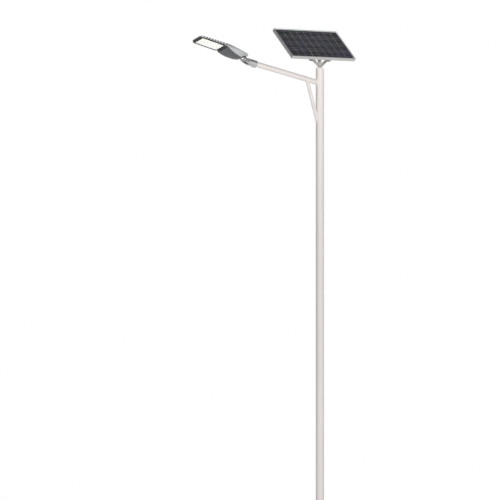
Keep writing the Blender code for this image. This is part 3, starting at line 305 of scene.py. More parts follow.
def refined(node, material, bevel=0.0006, name=None, place=WORLD, limit=30):
    """A CAD node's shape with welded points, whole flat faces and rounded edges."""
    form = bmesh.new()
    form.from_mesh(NODES[node].data)
    bmesh.ops.remove_doubles(form, verts=form.verts, dist=0.000002)
    bmesh.ops.dissolve_limit(form, angle_limit=math.radians(0.6), verts=form.verts, edges=form.edges)
    if bevel:
        sharp = [edge for edge in form.edges
                 if edge.is_manifold and edge.calc_face_angle(0.0) > math.radians(limit)]
        bmesh.ops.bevel(form, geom=sharp, offset=bevel, segments=2, profile=0.6, affect="EDGES",
                        clamp_overlap=True)
    bmesh.ops.transform(form, matrix=place.inverted(), verts=form.verts)
    return made(name or node + "_shape", form, NODE_BODY[node], NODE_SLOT[node], material, place, (node,),
                40, True)


def ring_of(form, points):
    """Adds points to a bmesh and returns them."""
    return [form.verts.new(point) for point in points]


def bridge(form, first, second, closed=True):
    """Faces between two rings of equal length."""
    count = len(first)
    for i in range(count if closed else count - 1):
        j = (i + 1) % count
        form.faces.new((first[i], second[i], second[j], first[j]))


def swept(form, points, radius, sides=10, cyclic=False, ripple=0.0, step=0.0):
    """A round bead along a line of points; a ripple makes the scales of a weld."""
    count = len(points)
    normal = None
    rings = []
    for i, point in enumerate(points):
        before = points[i - 1] if i or cyclic else points[0]
        after = points[(i + 1) % count] if cyclic or i < count - 1 else points[-1]
        ahead = (after - before).normalized()
        if normal is None:
            normal = ahead.orthogonal().normalized()
        normal = (normal - ahead * normal.dot(ahead)).normalized()
        side = ahead.cross(normal)
        swell = radius * (1 + ripple * abs(math.sin(step * i)))
        rings.append(ring_of(form, [point + normal * swell * math.cos(a) + side * swell * math.sin(a)
                                    for a in [math.tau * k / sides for k in range(sides)]]))
    for first, second in zip(rings, rings[1:]):
        bridge(form, first, second)
    if cyclic:
        first, last = rings[0], rings[-1]
        shift = min(range(sides), key=lambda k: (last[0].co - first[k].co).length)
        bridge(form, last, first[shift:] + first[:shift])
    else:
        form.faces.new(rings[0])
        form.faces.new(list(reversed(rings[-1])))


def smooth_route(route, steps):
    """Points on a curve that passes through every point of the route."""
    knots = [Vector(point) for point in route]
    knots = [2 * knots[0] - knots[1], *knots, 2 * knots[-1] - knots[-2]]
    points = []
    for before, start, end, after in zip(knots, knots[1:], knots[2:], knots[3:]):
        for k in range(steps):
            t = k / steps
            points.append(0.5 * (2 * start + (end - before) * t
                                 + (2 * before - 5 * start + 4 * end - after) * t ** 2
                                 + (3 * start - before - 3 * end + after) * t ** 3))
    return points + [knots[-2]]


def box_into(form, low, high, bevel=0.0):
    """Adds a box between two corners, with rounded edges if asked."""
    cube = bmesh.ops.create_cube(form, size=1.0)["verts"]
    size = [b - a for a, b in zip(low, high)]
    middle = Vector([(a + b) / 2 for a, b in zip(low, high)])
    bmesh.ops.scale(form, vec=size, verts=cube)
    bmesh.ops.translate(form, vec=middle, verts=cube)
    if bevel:
        edges = list({edge for vert in cube for edge in vert.link_edges})
        bmesh.ops.bevel(form, geom=edges, offset=bevel, segments=2, profile=0.6, affect="EDGES")


def rod_into(form, start, end, radius, sides=24, bevel=0.0):
    """Adds a round bar between two points, with rounded rims if asked."""
    start, end = Vector(start), Vector(end)
    span = end - start
    turn = Vector((0, 0, 1)).rotation_difference(span).to_matrix().to_4x4()
    place = Matrix.Translation((start + end) / 2) @ turn
    made_verts = bmesh.ops.create_cone(form, cap_ends=True, segments=sides, radius1=radius, radius2=radius,
                                       depth=span.length, matrix=place)["verts"]
    if bevel:
        rims = [edge for edge in {e for v in made_verts for e in v.link_edges}
                if any(len(face.verts) > 4 for face in edge.link_faces)]
        bmesh.ops.bevel(form, geom=rims, offset=bevel, segments=2, profile=0.6, affect="EDGES")


def cut(target, *tools):
    """The bmesh of a solid less its tools."""
    def holder(name, form):
        bmesh.ops.recalc_face_normals(form, faces=form.faces)
        mesh = bpy.data.meshes.new(name)
        form.to_mesh(mesh)
        form.free()
        item = bpy.data.objects.new(name, mesh)
        bpy.context.scene.collection.objects.link(item)
        return item
    solid = holder("solid", target)
    cutters = [holder(f"tool_{i}", tool) for i, tool in enumerate(tools)]
    for cutter in cutters:
        step = solid.modifiers.new("cut", "BOOLEAN")
        step.operation = "DIFFERENCE"
        step.object = cutter
        step.solver = "EXACT"
    bpy.context.view_layer.update()
    graph = bpy.context.evaluated_depsgraph_get()
    result = bmesh.new()
    result.from_mesh(solid.evaluated_get(graph).to_mesh())
    for item in (solid, *cutters):
        bpy.data.objects.remove(item, do_unlink=True)
    return result


# ---------------------------------------------------------------- lamp head

RIM_HEIGHT = 0.045
HOUSING_WALL = 0.003
DECK_LOW = 0.0432
FIN_PITCH = 0.0295
FIN_START = 0.0265
REAR_RIBS = 7
FIN_GAPS = 16
FIN_EDGE = ((0.0, 1.0), (0.0006, 1.0), (0.0012, 0.96), (0.0015, 0.82), (0.00165, 0.12), (0.0021, 0.0))
GAP_HALF = 0.0785
GAP_FLOOR = 0.0465
SIDE_GAP_FLOOR = 0.0388
RIB_DEPTH = 0.006
LED_FACE = 0.0365
LENS_RISE = 0.0006
COVER_HINGE = (0.2355, 0.0308)
LATCH_X = 0.064

# Distance out from the knuckle, half width at the rim, crown height, half width and height below
STATIONS = (
    (-0.034, 0.016, 0.050, 0.010, 0.038),
    (-0.026, 0.026, 0.056, 0.017, 0.033),
    (-0.010, 0.034, 0.060, 0.020, 0.027),
    (0.016, 0.041, 0.062, 0.022, 0.0225),
    (0.030, 0.044, 0.0635, 0.024, 0.009),
    (0.046, 0.047, 0.0648, 0.027, 0.000),
    (0.100, 0.061, 0.067, 0.047, 0.000),
    (0.150, 0.075, 0.068, 0.066, 0.004),
    (0.195, 0.083, 0.068, 0.079, 0.017),
    (0.235, 0.087, 0.067, 0.085, 0.0345),
    (0.300, 0.088, 0.065, 0.086, 0.0345),
    (0.450, 0.088, 0.060, 0.086, 0.0345),
    (0.488, 0.083, 0.055, 0.081, 0.0345),
    (0.504, 0.070, 0.048, 0.069, 0.0345),
)
# Distance out, depth of the cover's belly
COVER_STATIONS = (
    (0.036, -0.004),
    (0.046, -0.015),
    (0.062, -0.020),
    (0.100, -0.022),
    (0.150, -0.012),
    (0.200, 0.004),
    (0.230, 0.014),
)


def table_row(table, x):
    """The table's row at any distance out, on smooth curves through its stations."""
    last = len(table) - 1
    x = min(max(x, table[0][0]), table[-1][0])
    i = max(k for k in range(last) if table[k][0] <= x)
    lists = [table[max(i - 1, 0)], table[i], table[i + 1], table[min(i + 2, last)]]
    slope_ends = (i > 0, i < last - 1)

    def value(column, t):
        a, b, c, d = [row[column] for row in lists]
        slope_in = (c - a) / 2 if slope_ends[0] else c - b
        slope_out = (d - b) / 2 if slope_ends[1] else c - b
        return ((2 * t ** 3 - 3 * t ** 2 + 1) * b + (t ** 3 - 2 * t ** 2 + t) * slope_in
                + (3 * t ** 2 - 2 * t ** 3) * c + (t ** 3 - t ** 2) * slope_out)
    low, high = 0.0, 1.0
    for _ in range(30):
        middle = (low + high) / 2
        if value(0, middle) < x:
            low = middle
        else:
            high = middle
    return (x, *[value(column, low) for column in range(1, len(table[0]))])


def crown(half_width, rim, top, count, power=2.4):
    """The arch over a section from one rim to the other, as (y, z) points."""
    points = []
    for i in range(2 * count + 1):
        angle = math.pi * i / (2 * count)
        share = abs(math.cos(angle)) ** (2 / power)
        rise = abs(math.sin(angle)) ** (2 / power)
        side = 1 if math.cos(angle) >= 0 else -1
        points.append([side * half_width * share, rim + (top - rim) * rise])
    return points


def housing_section(row, wall=0.0, roof=0.0, reach=0.0, count=14):
    """One section of the housing as (y, z) points; with a wall it is the hollow inside."""
    _, rim_half, top, low_half, low = row
    rim = min(RIM_HEIGHT, top - 0.006)
    arch = crown(rim_half - wall, rim, top - roof, count)
    right = [[low_half - wall, low - reach],
             [(rim_half + low_half) / 2 - wall + 0.002, (rim + low) / 2]]
    left = [[-y, z] for y, z in reversed(right)]
    return right + arch + left


def gap_section(section, front, top):
    """The same section where the fins are cut away."""
    if not front:
        return [[y, min(z, top - RIB_DEPTH)] for y, z in section]
    cut_away = [[y, min(z, SIDE_GAP_FLOOR if abs(y) > GAP_HALF else GAP_FLOOR)] for y, z in section]
    for order in (1, -1):
        inner = next(i for i in range(len(section))[::order]
                     if abs(section[i][0]) <= GAP_HALF and section[i][1] > 0.040)
        side = 1 if section[inner][0] > 0 else -1
        cut_away[inner] = [side * (GAP_HALF - 0.0006), GAP_FLOOR - 0.0002]
        cut_away[inner - order] = [side * (GAP_HALF + 0.0003), SIDE_GAP_FLOOR + 0.0002]
    return cut_away


def fin_stations():
    """(distance out, share of fin height, index of the gap beside it) along the housing."""
    rows = {}
    for i in range(FIN_GAPS + 1):
        centre = FIN_START + FIN_PITCH * i
        for offset, share in FIN_EDGE:
            for side in (-1, 1):
                gap = i - 1 if side < 0 else i
                inside = 0 <= gap < FIN_GAPS
                nearest = min(max(gap, 0), FIN_GAPS - 1)
                rows[round(centre + side * offset, 6)] = (share if inside else 1.0, nearest)
        if i < FIN_GAPS:
            for part in (0.25, 0.5, 0.75):
                rows[round(centre + FIN_PITCH * part, 6)] = (0.0, i)
    for x in (-0.034, -0.0325, -0.030, -0.026, -0.022, -0.016, -0.010, -0.003, 0.004, 0.010, 0.016, 0.020,
              0.0235, 0.500, 0.5025, 0.504):
        if not FIN_START - 0.001 < x < FIN_START + FIN_PITCH * FIN_GAPS + 0.001:
            rows[x] = (1.0, 0)
    return [(x, *rows[x]) for x in sorted(rows) if x <= 0.504]


def loft_into(form, sections):
    """Adds a closed body through sections that all have the same number of points."""
    rings = [ring_of(form, section) for section in sections]
    form.faces.new(list(reversed(rings[0])))
    form.faces.new(rings[-1])
    for first, second in zip(rings, rings[1:]):
        bridge(form, first, second)


def housing_shape():
    """Cast top with its fins, cut out for the compartment, the LED pocket and the lead."""
    outer = bmesh.new()
    sections = []
    for x, share, gap in fin_stations():
        row = table_row(STATIONS, x)
        full = housing_section(row)
        low = gap_section(full, gap >= REAR_RIBS, row[2]) if share < 1 else full
        sections.append([(x, b[0] + (a[0] - b[0]) * share, b[1] + (a[1] - b[1]) * share)
                         for a, b in zip(full, low)])
    loft_into(outer, sections)
    hollow = bmesh.new()
    inside = [table_row(STATIONS, 0.0413 + (0.2237 - 0.0413) * i / 24) for i in range(25)]
    loft_into(hollow, [[(row[0], y, z) for y, z in housing_section(row, HOUSING_WALL, 0.010, 0.006, 8)]
                       for row in inside])
    pocket = bmesh.new()
    slab_into(pocket, rounded((0.2455, -0.078), (0.4875, 0.078), 0.014), DECK_LOW - 0.02, DECK_LOW)
    tunnel = bmesh.new()
    rod_into(tunnel, (-0.040, 0, 0.0262), (0.045, 0, 0.0262), 0.0075, 24)
    return cut(outer, hollow, pocket, tunnel)


def rounded(low, high, radius, count=7):
    """A rectangle with round corners."""
    corners = (((high[0] - radius, high[1] - radius), 0), ((low[0] + radius, high[1] - radius), 90),
               ((low[0] + radius, low[1] + radius), 180), ((high[0] - radius, low[1] + radius), 270))
    points = []
    for (x, y), start in corners:
        for i in range(count):
            angle = math.radians(start + 90 * i / (count - 1))
            points.append((x + radius * math.cos(angle), y + radius * math.sin(angle)))
    return points


def slab_into(form, outline, low, high, bevel=0.0):
    """A flat plate of an outline between two heights."""
    rings = []
    levels = ((low, 0), (high, 0))
    if bevel:
        levels = ((low, bevel), (low + bevel, 0), (high - bevel, 0), (high, bevel))
    middle = Vector((sum(p[0] for p in outline) / len(outline), sum(p[1] for p in outline) / len(outline), 0))
    for height, inset in levels:
        ring = []
        for x, y in outline:
            away = Vector((x, y, 0)) - middle
            ring.append((x - math.copysign(min(inset, abs(away.x)), away.x),
                         y - math.copysign(min(inset, abs(away.y)), away.y), height))
        rings.append(ring_of(form, ring))
    form.faces.new(list(reversed(rings[0])))
    form.faces.new(rings[-1])
    for first, second in zip(rings, rings[1:]):
        bridge(form, first, second)


def dome_tip_height():
    """The height of the lens domes' tips in the lamp head's frame."""
    return LED_FACE - LENS_RISE


# ---------------------------------------------------------------- finishes in use

PAINT = pole_paint().material
ZINC = galvanised().material
STEEL = coated("fastener_steel", (0.60, 0.60, 0.61), (0.52, 0.52, 0.53), (0.24, 0.40), 1.0, 60.0, 1500.0,
               0.00003).material
FRAME_LONG = coated("anodised_frame_long", (0.78, 0.765, 0.755), (0.72, 0.71, 0.70), (0.26, 0.38), 0.60,
                    12.0, 1800.0, 0.00003, (0.03, 1, 1)).material
FRAME_CROSS = coated("anodised_frame_cross", (0.78, 0.765, 0.755), (0.72, 0.71, 0.70), (0.26, 0.38), 0.60,
                     12.0, 1800.0, 0.00003, (1, 0.03, 1)).material
GLASS = see_through("panel_glass", (0.90, 0.97, 0.94, 1), 0.03, 1.45, 0.30).material
SILICON = cells().material
SHEET = coated("white_sheet", (0.80, 0.80, 0.79), (0.74, 0.745, 0.74), (0.45, 0.6), 0.0, 14.0, 700.0,
               0.00005).material
BLACK = coated("black_plastic", (0.018, 0.018, 0.019), (0.030, 0.030, 0.031), (0.30, 0.46), 0.0, 30.0,
               1400.0, 0.00005).material
RUBBER = coated("lead_jacket", (0.020, 0.020, 0.020), (0.034, 0.033, 0.032), (0.55, 0.75), 0.0, 40.0,
                1100.0, 0.00006).material
CAST = coated("lamp_grey", (0.74, 0.745, 0.75), (0.67, 0.675, 0.685), (0.22, 0.32), 0.80, 16.0, 1000.0,
              0.00006, Coat_Weight=0.15, Coat_Roughness=0.2).material
COVER = coated("cover_grey", (0.145, 0.15, 0.158), (0.12, 0.125, 0.132), (0.28, 0.40), 0.6, 14.0, 900.0,
               0.00006, Coat_Weight=1.0, Coat_Roughness=0.10).material
WINDOW = see_through("window_glass", (0.985, 0.99, 0.985, 1), 0.02, 1.45, 0.35).material
LENS = led_lens().material
WRAP = coated("battery_wrap", (0.020, 0.075, 0.30), (0.014, 0.055, 0.24), (0.22, 0.38), 0.0, 30.0, 700.0,
              0.00010).material
TINNED = coated("tinned_ribbon", (0.62, 0.62, 0.63), (0.50, 0.50, 0.52), (0.28, 0.44), 0.9, 120.0, 2400.0,
                0.00002).material
CASE = coated("controller_case", (0.66, 0.665, 0.67), (0.60, 0.605, 0.61), (0.32, 0.46), 0.8, 30.0, 1600.0,
              0.00003).material
SLOT_LOOK = {"pole_paint": PAINT, "galvanised": ZINC, "fastener_steel": STEEL, "panel_glass": GLASS,
             "white_sheet": SHEET, "black_plastic": BLACK, "lead_jacket": RUBBER, "lamp_grey": CAST,
             "cover_grey": COVER, "window_glass": WINDOW, "battery_wrap": WRAP}

# ---------------------------------------------------------------- pieces whose CAD shape is already right

FINE_EDGES = {"base_flange": 0.0016, "pole_tube": 0.0006, "arm_tube": 0.0006, "spigot_adapter": 0.0012,
              "led_bezel": 0.0010, "battery_pack": 0.0, "charge_controller": 0.0, "pole_door": 0.0006,
              "junction_box": 0.0008, "junction_box_lid": 0.0008, "cover_seal": 0.0, "window_seal": 0.0,
              "door_seal": 0.0, "stem_lead": 0.0, "feed_cable": 0.0, "led_board": 0.0, "backsheet": 0.0,
              "panel_glass": 0.0, "cover_hinge_pin": 0.0003, "door_hinge_pin": 0.0003}
OWN_SHAPES = ("lamp_housing", "compartment_cover", "cell_sheet", "lens_plate", "panel_lead", "lamp_lead",
              "led_window", "panel_glass", "frame_front", "frame_rear", "frame_left", "frame_right",
              "battery_pack", "charge_controller", "cover_seal")


def dress_plain_nodes():
    """Every CAD node whose own shape will do, in its finish."""
    for node in sorted(NODES):
        if node not in OWN_SHAPES:
            refined(node, SLOT_LOOK[NODE_SLOT[node]], FINE_EDGES.get(node, 0.0005))


# ---------------------------------------------------------------- panel

CELL_COLUMNS = 9
CELL_ROWS = 4
CELL_PITCH = (0.0731, 0.1040)
CELL_GAP = 0.0021
CELL_CORNER = 0.0012
PANEL_MIDDLE = 0.153
CELL_BOTTOM = 0.0366
CELL_THICK = 0.0003
BUSBARS = (-0.026, 0.026)


def build_panel():
    """Frame, glass, single wafers with their ribbons, and the small fasteners."""
    for node, look in (("frame_front", FRAME_LONG), ("frame_rear", FRAME_LONG), ("frame_left", FRAME_CROSS),
                       ("frame_right", FRAME_CROSS)):
        refined(node, look, 0.0005, place=PANEL)
    refined("panel_glass", GLASS, 0.0004, place=PANEL)
    wafers = bmesh.new()
    bars = bmesh.new()
    half = [(pitch - CELL_GAP) / 2 for pitch in CELL_PITCH]
    for row in range(CELL_ROWS):
        y = PANEL_MIDDLE + (row - (CELL_ROWS - 1) / 2) * CELL_PITCH[1]
        for column in range(CELL_COLUMNS):
            x = (column - (CELL_COLUMNS - 1) / 2) * CELL_PITCH[0]
            slab_into(wafers, rounded((x - half[0], y - half[1]), (x + half[0], y + half[1]), CELL_CORNER, 3),
                      CELL_BOTTOM, CELL_BOTTOM + CELL_THICK)
        reach = CELL_COLUMNS / 2 * CELL_PITCH[0] - 0.004
        for offset in BUSBARS:
            box_into(bars, (-reach, y + offset - 0.0008, CELL_BOTTOM + CELL_THICK - 0.00004),
                     (reach, y + offset + 0.0008, CELL_BOTTOM + CELL_THICK + 0.00012))
    made("cell_wafers", wafers, "panel", "solar_cells", SILICON, PANEL, ("cell_sheet",))
    for side in (-1, 1):
        x = side * (CELL_COLUMNS / 2 * CELL_PITCH[0] + 0.0008)
        box_into(bars, (x - 0.0015, PANEL_MIDDLE - 0.19, CELL_BOTTOM + 0.0001),
                 (x + 0.0015, PANEL_MIDDLE + 0.19, CELL_BOTTOM + 0.0003))
    made("cell_ribbons", bars, "panel", "galvanised", TINNED, PANEL)
    keys = bmesh.new()
    for x in (-0.3365, 0.3365):
        for y in (PANEL_MIDDLE - 0.2165, PANEL_MIDDLE + 0.2165):
            rod_into(keys, (x, y, 0.0108), (x, y, 0.0126), 0.0022, 12, 0.0003)
    made("frame_corner_keys", keys, "panel", "fastener_steel", STEEL, PANEL)
    screws = bmesh.new()
    for x in (-0.038, 0.038):
        for y in (0.275, 0.331):
            rod_into(screws, (x, y, 0.0161), (x, y, 0.0170), 0.0026, 16, 0.0003)
    made("junction_lid_screws", screws, "panel", "fastener_steel", STEEL, PANEL)
    rivets = bmesh.new()
    for x in (-0.105, 0.105):
        for y in (PANEL_MIDDLE - 0.209, ):
            rod_into(rivets, (x, y, 0.0090), (x, y, 0.0155), 0.0035, 6, 0.0004)
    made("rail_bolts", rivets, "panel", "fastener_steel", STEEL, PANEL)


LEAD_HOLE_START = 0.0140
LEAD_HOLE_HEIGHT = 5.058


def build_panel_lead():
    """Lead from the junction box to the stem, bent by the panel's tilt."""
    hole = PANEL.inverted() @ Vector((0, LEAD_HOLE_START, LEAD_HOLE_HEIGHT))
    ahead = PANEL.inverted().to_3x3() @ Vector((0, 0.012, 0))
    back = 0.0356
    route = [(0, 0.272, back - 0.008), (0, 0.240, back - 0.008), (0, 0.200, back - 0.0045),
             (0, 0.120, back - 0.0045), (0, 0.070, back - 0.008), (0, 0.042, 0.004), (0, 0.030, -0.022),
             (0, 0.014, -0.0400), hole + ahead, hole]
    form = bmesh.new()
    swept(form, [PANEL @ point for point in smooth_route(route, 8)], 0.003, 14)
    lead = made("panel_lead_jacket", form, None, "lead_jacket", RUBBER, WORLD, ("panel_lead",))
    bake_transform(lead)


# ---------------------------------------------------------------- lamp head pieces


def build_housing():
    """The lamp's casting with its lug, bosses, side ribs and side screws."""
    shape = housing_shape()
    bmesh.ops.transform(shape, matrix=HEAD, verts=shape.verts)
    made("housing_casting", shape, "lamp_head", "lamp_grey", CAST, WORLD, ("lamp_housing",), 38, True)
    inner = bmesh.new()
    rod_into(inner, (0, -0.015, 0), (0, 0.015, 0), 0.017, 40, 0.001)
    box_into(inner, (0.002, -0.0148, -0.0095), (0.036, 0.0148, 0.0165), 0.001)
    for along, side, low in ((0.072, 0.017, 0.0363), (0.132, 0.022, 0.0363), (0.150, 0.030, 0.0443),
                             (0.196, 0.030, 0.0443)):
        for y in (-side, side):
            rod_into(inner, (along, y, low), (along, y, 0.0590), 0.004, 16)
    for y in (-0.0705, 0.0635):
        box_into(inner, (0.2322, y, 0.0276), (0.2388, y + 0.007, 0.0365), 0.0006)
    rod_into(inner, (LATCH_X, 0, 0.002), (LATCH_X, 0, 0.059), 0.0065, 20, 0.0005)
    made("housing_lugs", inner, "lamp_head", "lamp_grey", CAST, HEAD)
    trim = bmesh.new()
    for side in (-1, 1):
        for x, z in ((0.036, 0.0360), (0.216, 0.0390)):
            row = table_row(STATIONS, x)
            share = (z - row[4]) / (RIM_HEIGHT - row[4])
            y = side * (row[3] + (row[1] - row[3]) * share + 0.0002)
            rod_into(trim, (x, y - side * 0.003, z), (x, y + side * 0.0012, z - 0.0002), 0.0036, 18, 0.0005)
    made("housing_side_screws", trim, "lamp_head", "fastener_steel", STEEL, HEAD)
    line = bmesh.new()
    for side in (-1, 1):
        points = []
        for i in range(60):
            row = table_row(STATIONS, 0.033 + i * (0.226 - 0.033) / 59)
            share = 0.80
            y = row[3] + (row[1] - row[3]) * share
            points.append(Vector((row[0], side * (y + 0.0006), row[4] + (RIM_HEIGHT - row[4]) * share)))
        swept(line, points, 0.0014, 8)
    made("housing_side_ribs", line, "lamp_head", "lamp_grey", CAST, HEAD)


def cover_section(x, belly, wall=0.0, count=14):
    """One section of the compartment cover below the housing's edge."""
    row = table_row(STATIONS, x)
    edge = row[4] - 0.0032
    arch = crown(row[3] - wall, edge, belly + wall, count, 3.2)
    if wall:
        half = row[3] - wall
        arch = [[half, edge + 0.004], *arch, [-half, edge + 0.004]]
    return [(x, y, z) for y, z in arch]


def build_cover():
    """Hollow belly with its hinge barrel and the cord seal on its edge."""
    shell = bmesh.new()
    steps = [0.036 + (0.230 - 0.036) * (i / 40) ** 1.15 for i in range(41)]
    loft_into(shell, [cover_section(*table_row(COVER_STATIONS, x)) for x in steps])
    hollow = bmesh.new()
    loft_into(hollow, [cover_section(*table_row(COVER_STATIONS, x), 0.0025)
                       for x in steps if 0.0395 < x < 0.2265])
    recess = bmesh.new()
    rod_into(recess, (LATCH_X, 0, -0.04), (LATCH_X, 0, -0.0165), 0.0072, 32)
    form = cut(shell, hollow, recess)
    made("cover_shell", form, "cover", "cover_grey", COVER, HEAD, ("compartment_cover",), 38, True)
    inner = bmesh.new()
    x, z = COVER_HINGE
    rod_into(inner, (x, -0.062, z), (x, 0.062, z), 0.0030, 24, 0.0003)
    box_into(inner, (0.2282, -0.062, 0.0262), (0.2355, 0.062, 0.0296), 0.0005)
    made("cover_hinge_barrel", inner, "cover", "cover_grey", COVER, HEAD)
    side = []
    for i in range(31):
        row = table_row(STATIONS, 0.0465 + (0.2215 - 0.0465) * i / 30)
        side.append(Vector((row[0], row[3] - 0.0018, row[4] - 0.0018)))
    seal = bmesh.new()
    swept(seal, side + [Vector((x, -y, z)) for x, y, z in reversed(side)], 0.0008, 8, True)
    made("cover_seal_cord", seal, "cover", "lead_jacket", RUBBER, HEAD, ("cover_seal",))


def build_light():
    """Lens plate with its domes, the stepped window pane and the bezel's screws."""
    form = bmesh.new()
    slab_into(form, rounded((0.2558, -0.0676), (0.4772, 0.0676), 0.011), LED_FACE, LED_FACE + 0.0022, 0.0003)
    columns, rows = 14, 8
    pitch = (0.0146, 0.0150)
    for row in range(rows):
        y = (row - (rows - 1) / 2) * pitch[1]
        for column in range(columns):
            x = 0.3668 + (column - (columns - 1) / 2) * pitch[0]
            dome_into(form, (x, y, LED_FACE), 0.0062, LENS_RISE)
    made("lens_domes", form, "lamp_head", "led_lens", LENS, HEAD, ("lens_plate",), 30)
    pane = bmesh.new()
    step = rounded((0.2566, -0.0689), (0.4774, 0.0689), 0.0096, 8)
    rim = rounded((0.2480, -0.0754), (0.4850, 0.0754), 0.0110, 8)
    loft_into(pane, [[(x, y, z) for x, y in outline]
                     for outline, z in ((step, 0.0286), (step, 0.0324), (rim, 0.0326), (rim, 0.0356))])
    made("window_pane", pane, "lamp_head", "window_glass", WINDOW, HEAD, ("led_window",), 30)
    screws = bmesh.new()
    for x, y in ((0.2510, -0.073), (0.2510, 0.073), (0.368, -0.0765), (0.368, 0.0765), (0.4900, -0.068),
                 (0.4900, 0.068)):
        rod_into(screws, (x, y, 0.0274), (x, y, 0.0290), 0.0028, 18, 0.0004)
    made("bezel_screws", screws, "lamp_head", "fastener_steel", STEEL, HEAD)


def dome_into(form, centre, radius, rise):
    """A shallow lens that hangs from a plate."""
    rings = []
    for i in range(5):
        angle = math.pi / 2 * i / 5
        rings.append(ring_of(form, [(centre[0] + radius * math.cos(angle) * math.cos(a),
                                     centre[1] + radius * math.cos(angle) * math.sin(a),
                                     centre[2] + 0.0002 - (rise + 0.0002) * math.sin(angle))
                                    for a in [math.tau * k / 14 for k in range(14)]]))
    tip = form.verts.new((centre[0], centre[1], centre[2] - rise))
    form.faces.new(rings[0])
    for first, second in zip(rings, rings[1:]):
        bridge(form, first, second)
    last = rings[-1]
    for i, vert in enumerate(last):
        form.faces.new((vert, last[(i + 1) % len(last)], tip))


def build_contents():
    """Battery with its cells showing through the wrap, and the charge controller's case."""
    pack = bmesh.new()
    rows = []
    for i in range(73):
        y = -0.058 + 0.116 * i / 72
        wave = abs(math.cos(math.pi * (y + 0.058) / (0.116 / 5) * 0.5 * 2))
        pinch = 0.0012 * (1 - wave) ** 2
        end = min(1.0, (0.058 - abs(y)) / 0.004)
        soft = 0.0035 * (1 - math.sqrt(1 - (1 - end) ** 2))
        inset = pinch + soft
        outline = rounded((0.140 + inset, 0.0102 + inset), (0.206 - inset, 0.044 - inset), 0.006, 6)
        rows.append([(x, y, z) for x, z in outline])
    loft_into(pack, rows)
    made("battery_wrap_shape", pack, "lamp_head", "battery_wrap", WRAP, HEAD, ("battery_pack",), 60)
    refined("charge_controller", CASE, 0.0, place=HEAD)
    parts = bmesh.new()
    box_into(parts, (0.1260, -0.022, 0.0132), (0.1362, 0.022, 0.0155), 0.0004)
    made("controller_terminals", parts, "lamp_head", "black_plastic", BLACK, HEAD)
    screws = bmesh.new()
    for i in range(6):
        y = -0.0175 + 0.007 * i
        rod_into(screws, (0.1311, y, 0.0126), (0.1311, y, 0.0135), 0.0022, 12, 0.0002)
    for x in (0.078, 0.120):
        for y in (-0.0215, 0.0215):
            rod_into(screws, (x, y, 0.0143), (x, y, 0.0152), 0.0022, 12, 0.0002)
    made("controller_screws", screws, "lamp_head", "fastener_steel", STEEL, HEAD)


ARM_END = 0.757
MOUTH = 0.697
KNUCKLE_REACH = 0.133
KNUCKLE_RISE = 0.012
TOUCH_GAP = 0.0003


def build_lamp_lead():
    """Lead from the end of the arm into the head, bent by the knuckle."""
    sag = -KNUCKLE_RISE
    start = ARM_END - MOUTH - KNUCKLE_REACH + TOUCH_GAP
    route = [(start, 0, sag), (start + 0.012, 0, sag + 0.004), (-0.048, 0, 0.003), (-0.036, 0, 0.0165),
             (-0.022, 0, 0.0240), (0, 0, 0.0262), (0.030, 0, 0.0262), (0.0555, 0, 0.0262)]
    form = bmesh.new()
    swept(form, [HEAD @ point for point in smooth_route(route, 8)], 0.0030, 14)
    lead = made("lamp_lead_jacket", form, None, "lead_jacket", RUBBER, WORLD, ("lamp_lead",))
    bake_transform(lead)


# ---------------------------------------------------------------- welds

POLE_R = 0.038
BRACE_R = 0.016
ARM_R = 0.024
ARM_ROOT = Vector((0, 0, 4.8604))
ARM_PITCH = math.radians(12.44)
BRACE_REACH = 0.141
BRACE_FOOT = 4.545
FLANGE_THICK = 0.014
POLE_TOP = 5.0


def saddle(origin, along, radius, axis_origin, axis, host_radius, count=96):
    """Where a tube that runs along a line meets the side of a larger one."""
    along = Vector(along).normalized()
    axis = Vector(axis).normalized()
    first = along.orthogonal().normalized()
    second = along.cross(first)
    points = []
    for i in range(count):
        angle = math.tau * i / count
        base = Vector(origin) + first * radius * math.cos(angle) + second * radius * math.sin(angle)
        rel = base - Vector(axis_origin)
        flat = rel - axis * rel.dot(axis)
        run = along - axis * along.dot(axis)
        a, b, c = run.dot(run), 2 * flat.dot(run), flat.dot(flat) - host_radius ** 2
        t = (-b + math.sqrt(max(b * b - 4 * a * c, 0.0))) / (2 * a)
        points.append(base + along * t)
    return points


def weld(name, points, radius, body, slot, look, cyclic=True):
    """A rippled bead along a line."""
    form = bmesh.new()
    swept(form, points, radius, 8, cyclic, 0.22, 1.05)
    return made(name, form, body, slot, look, limit=80)


def circle(centre, radius, count=110):
    """Points round a level circle."""
    return [Vector((centre[0] + radius * math.cos(math.tau * i / count),
                    centre[1] + radius * math.sin(math.tau * i / count), centre[2]))
            for i in range(count)]


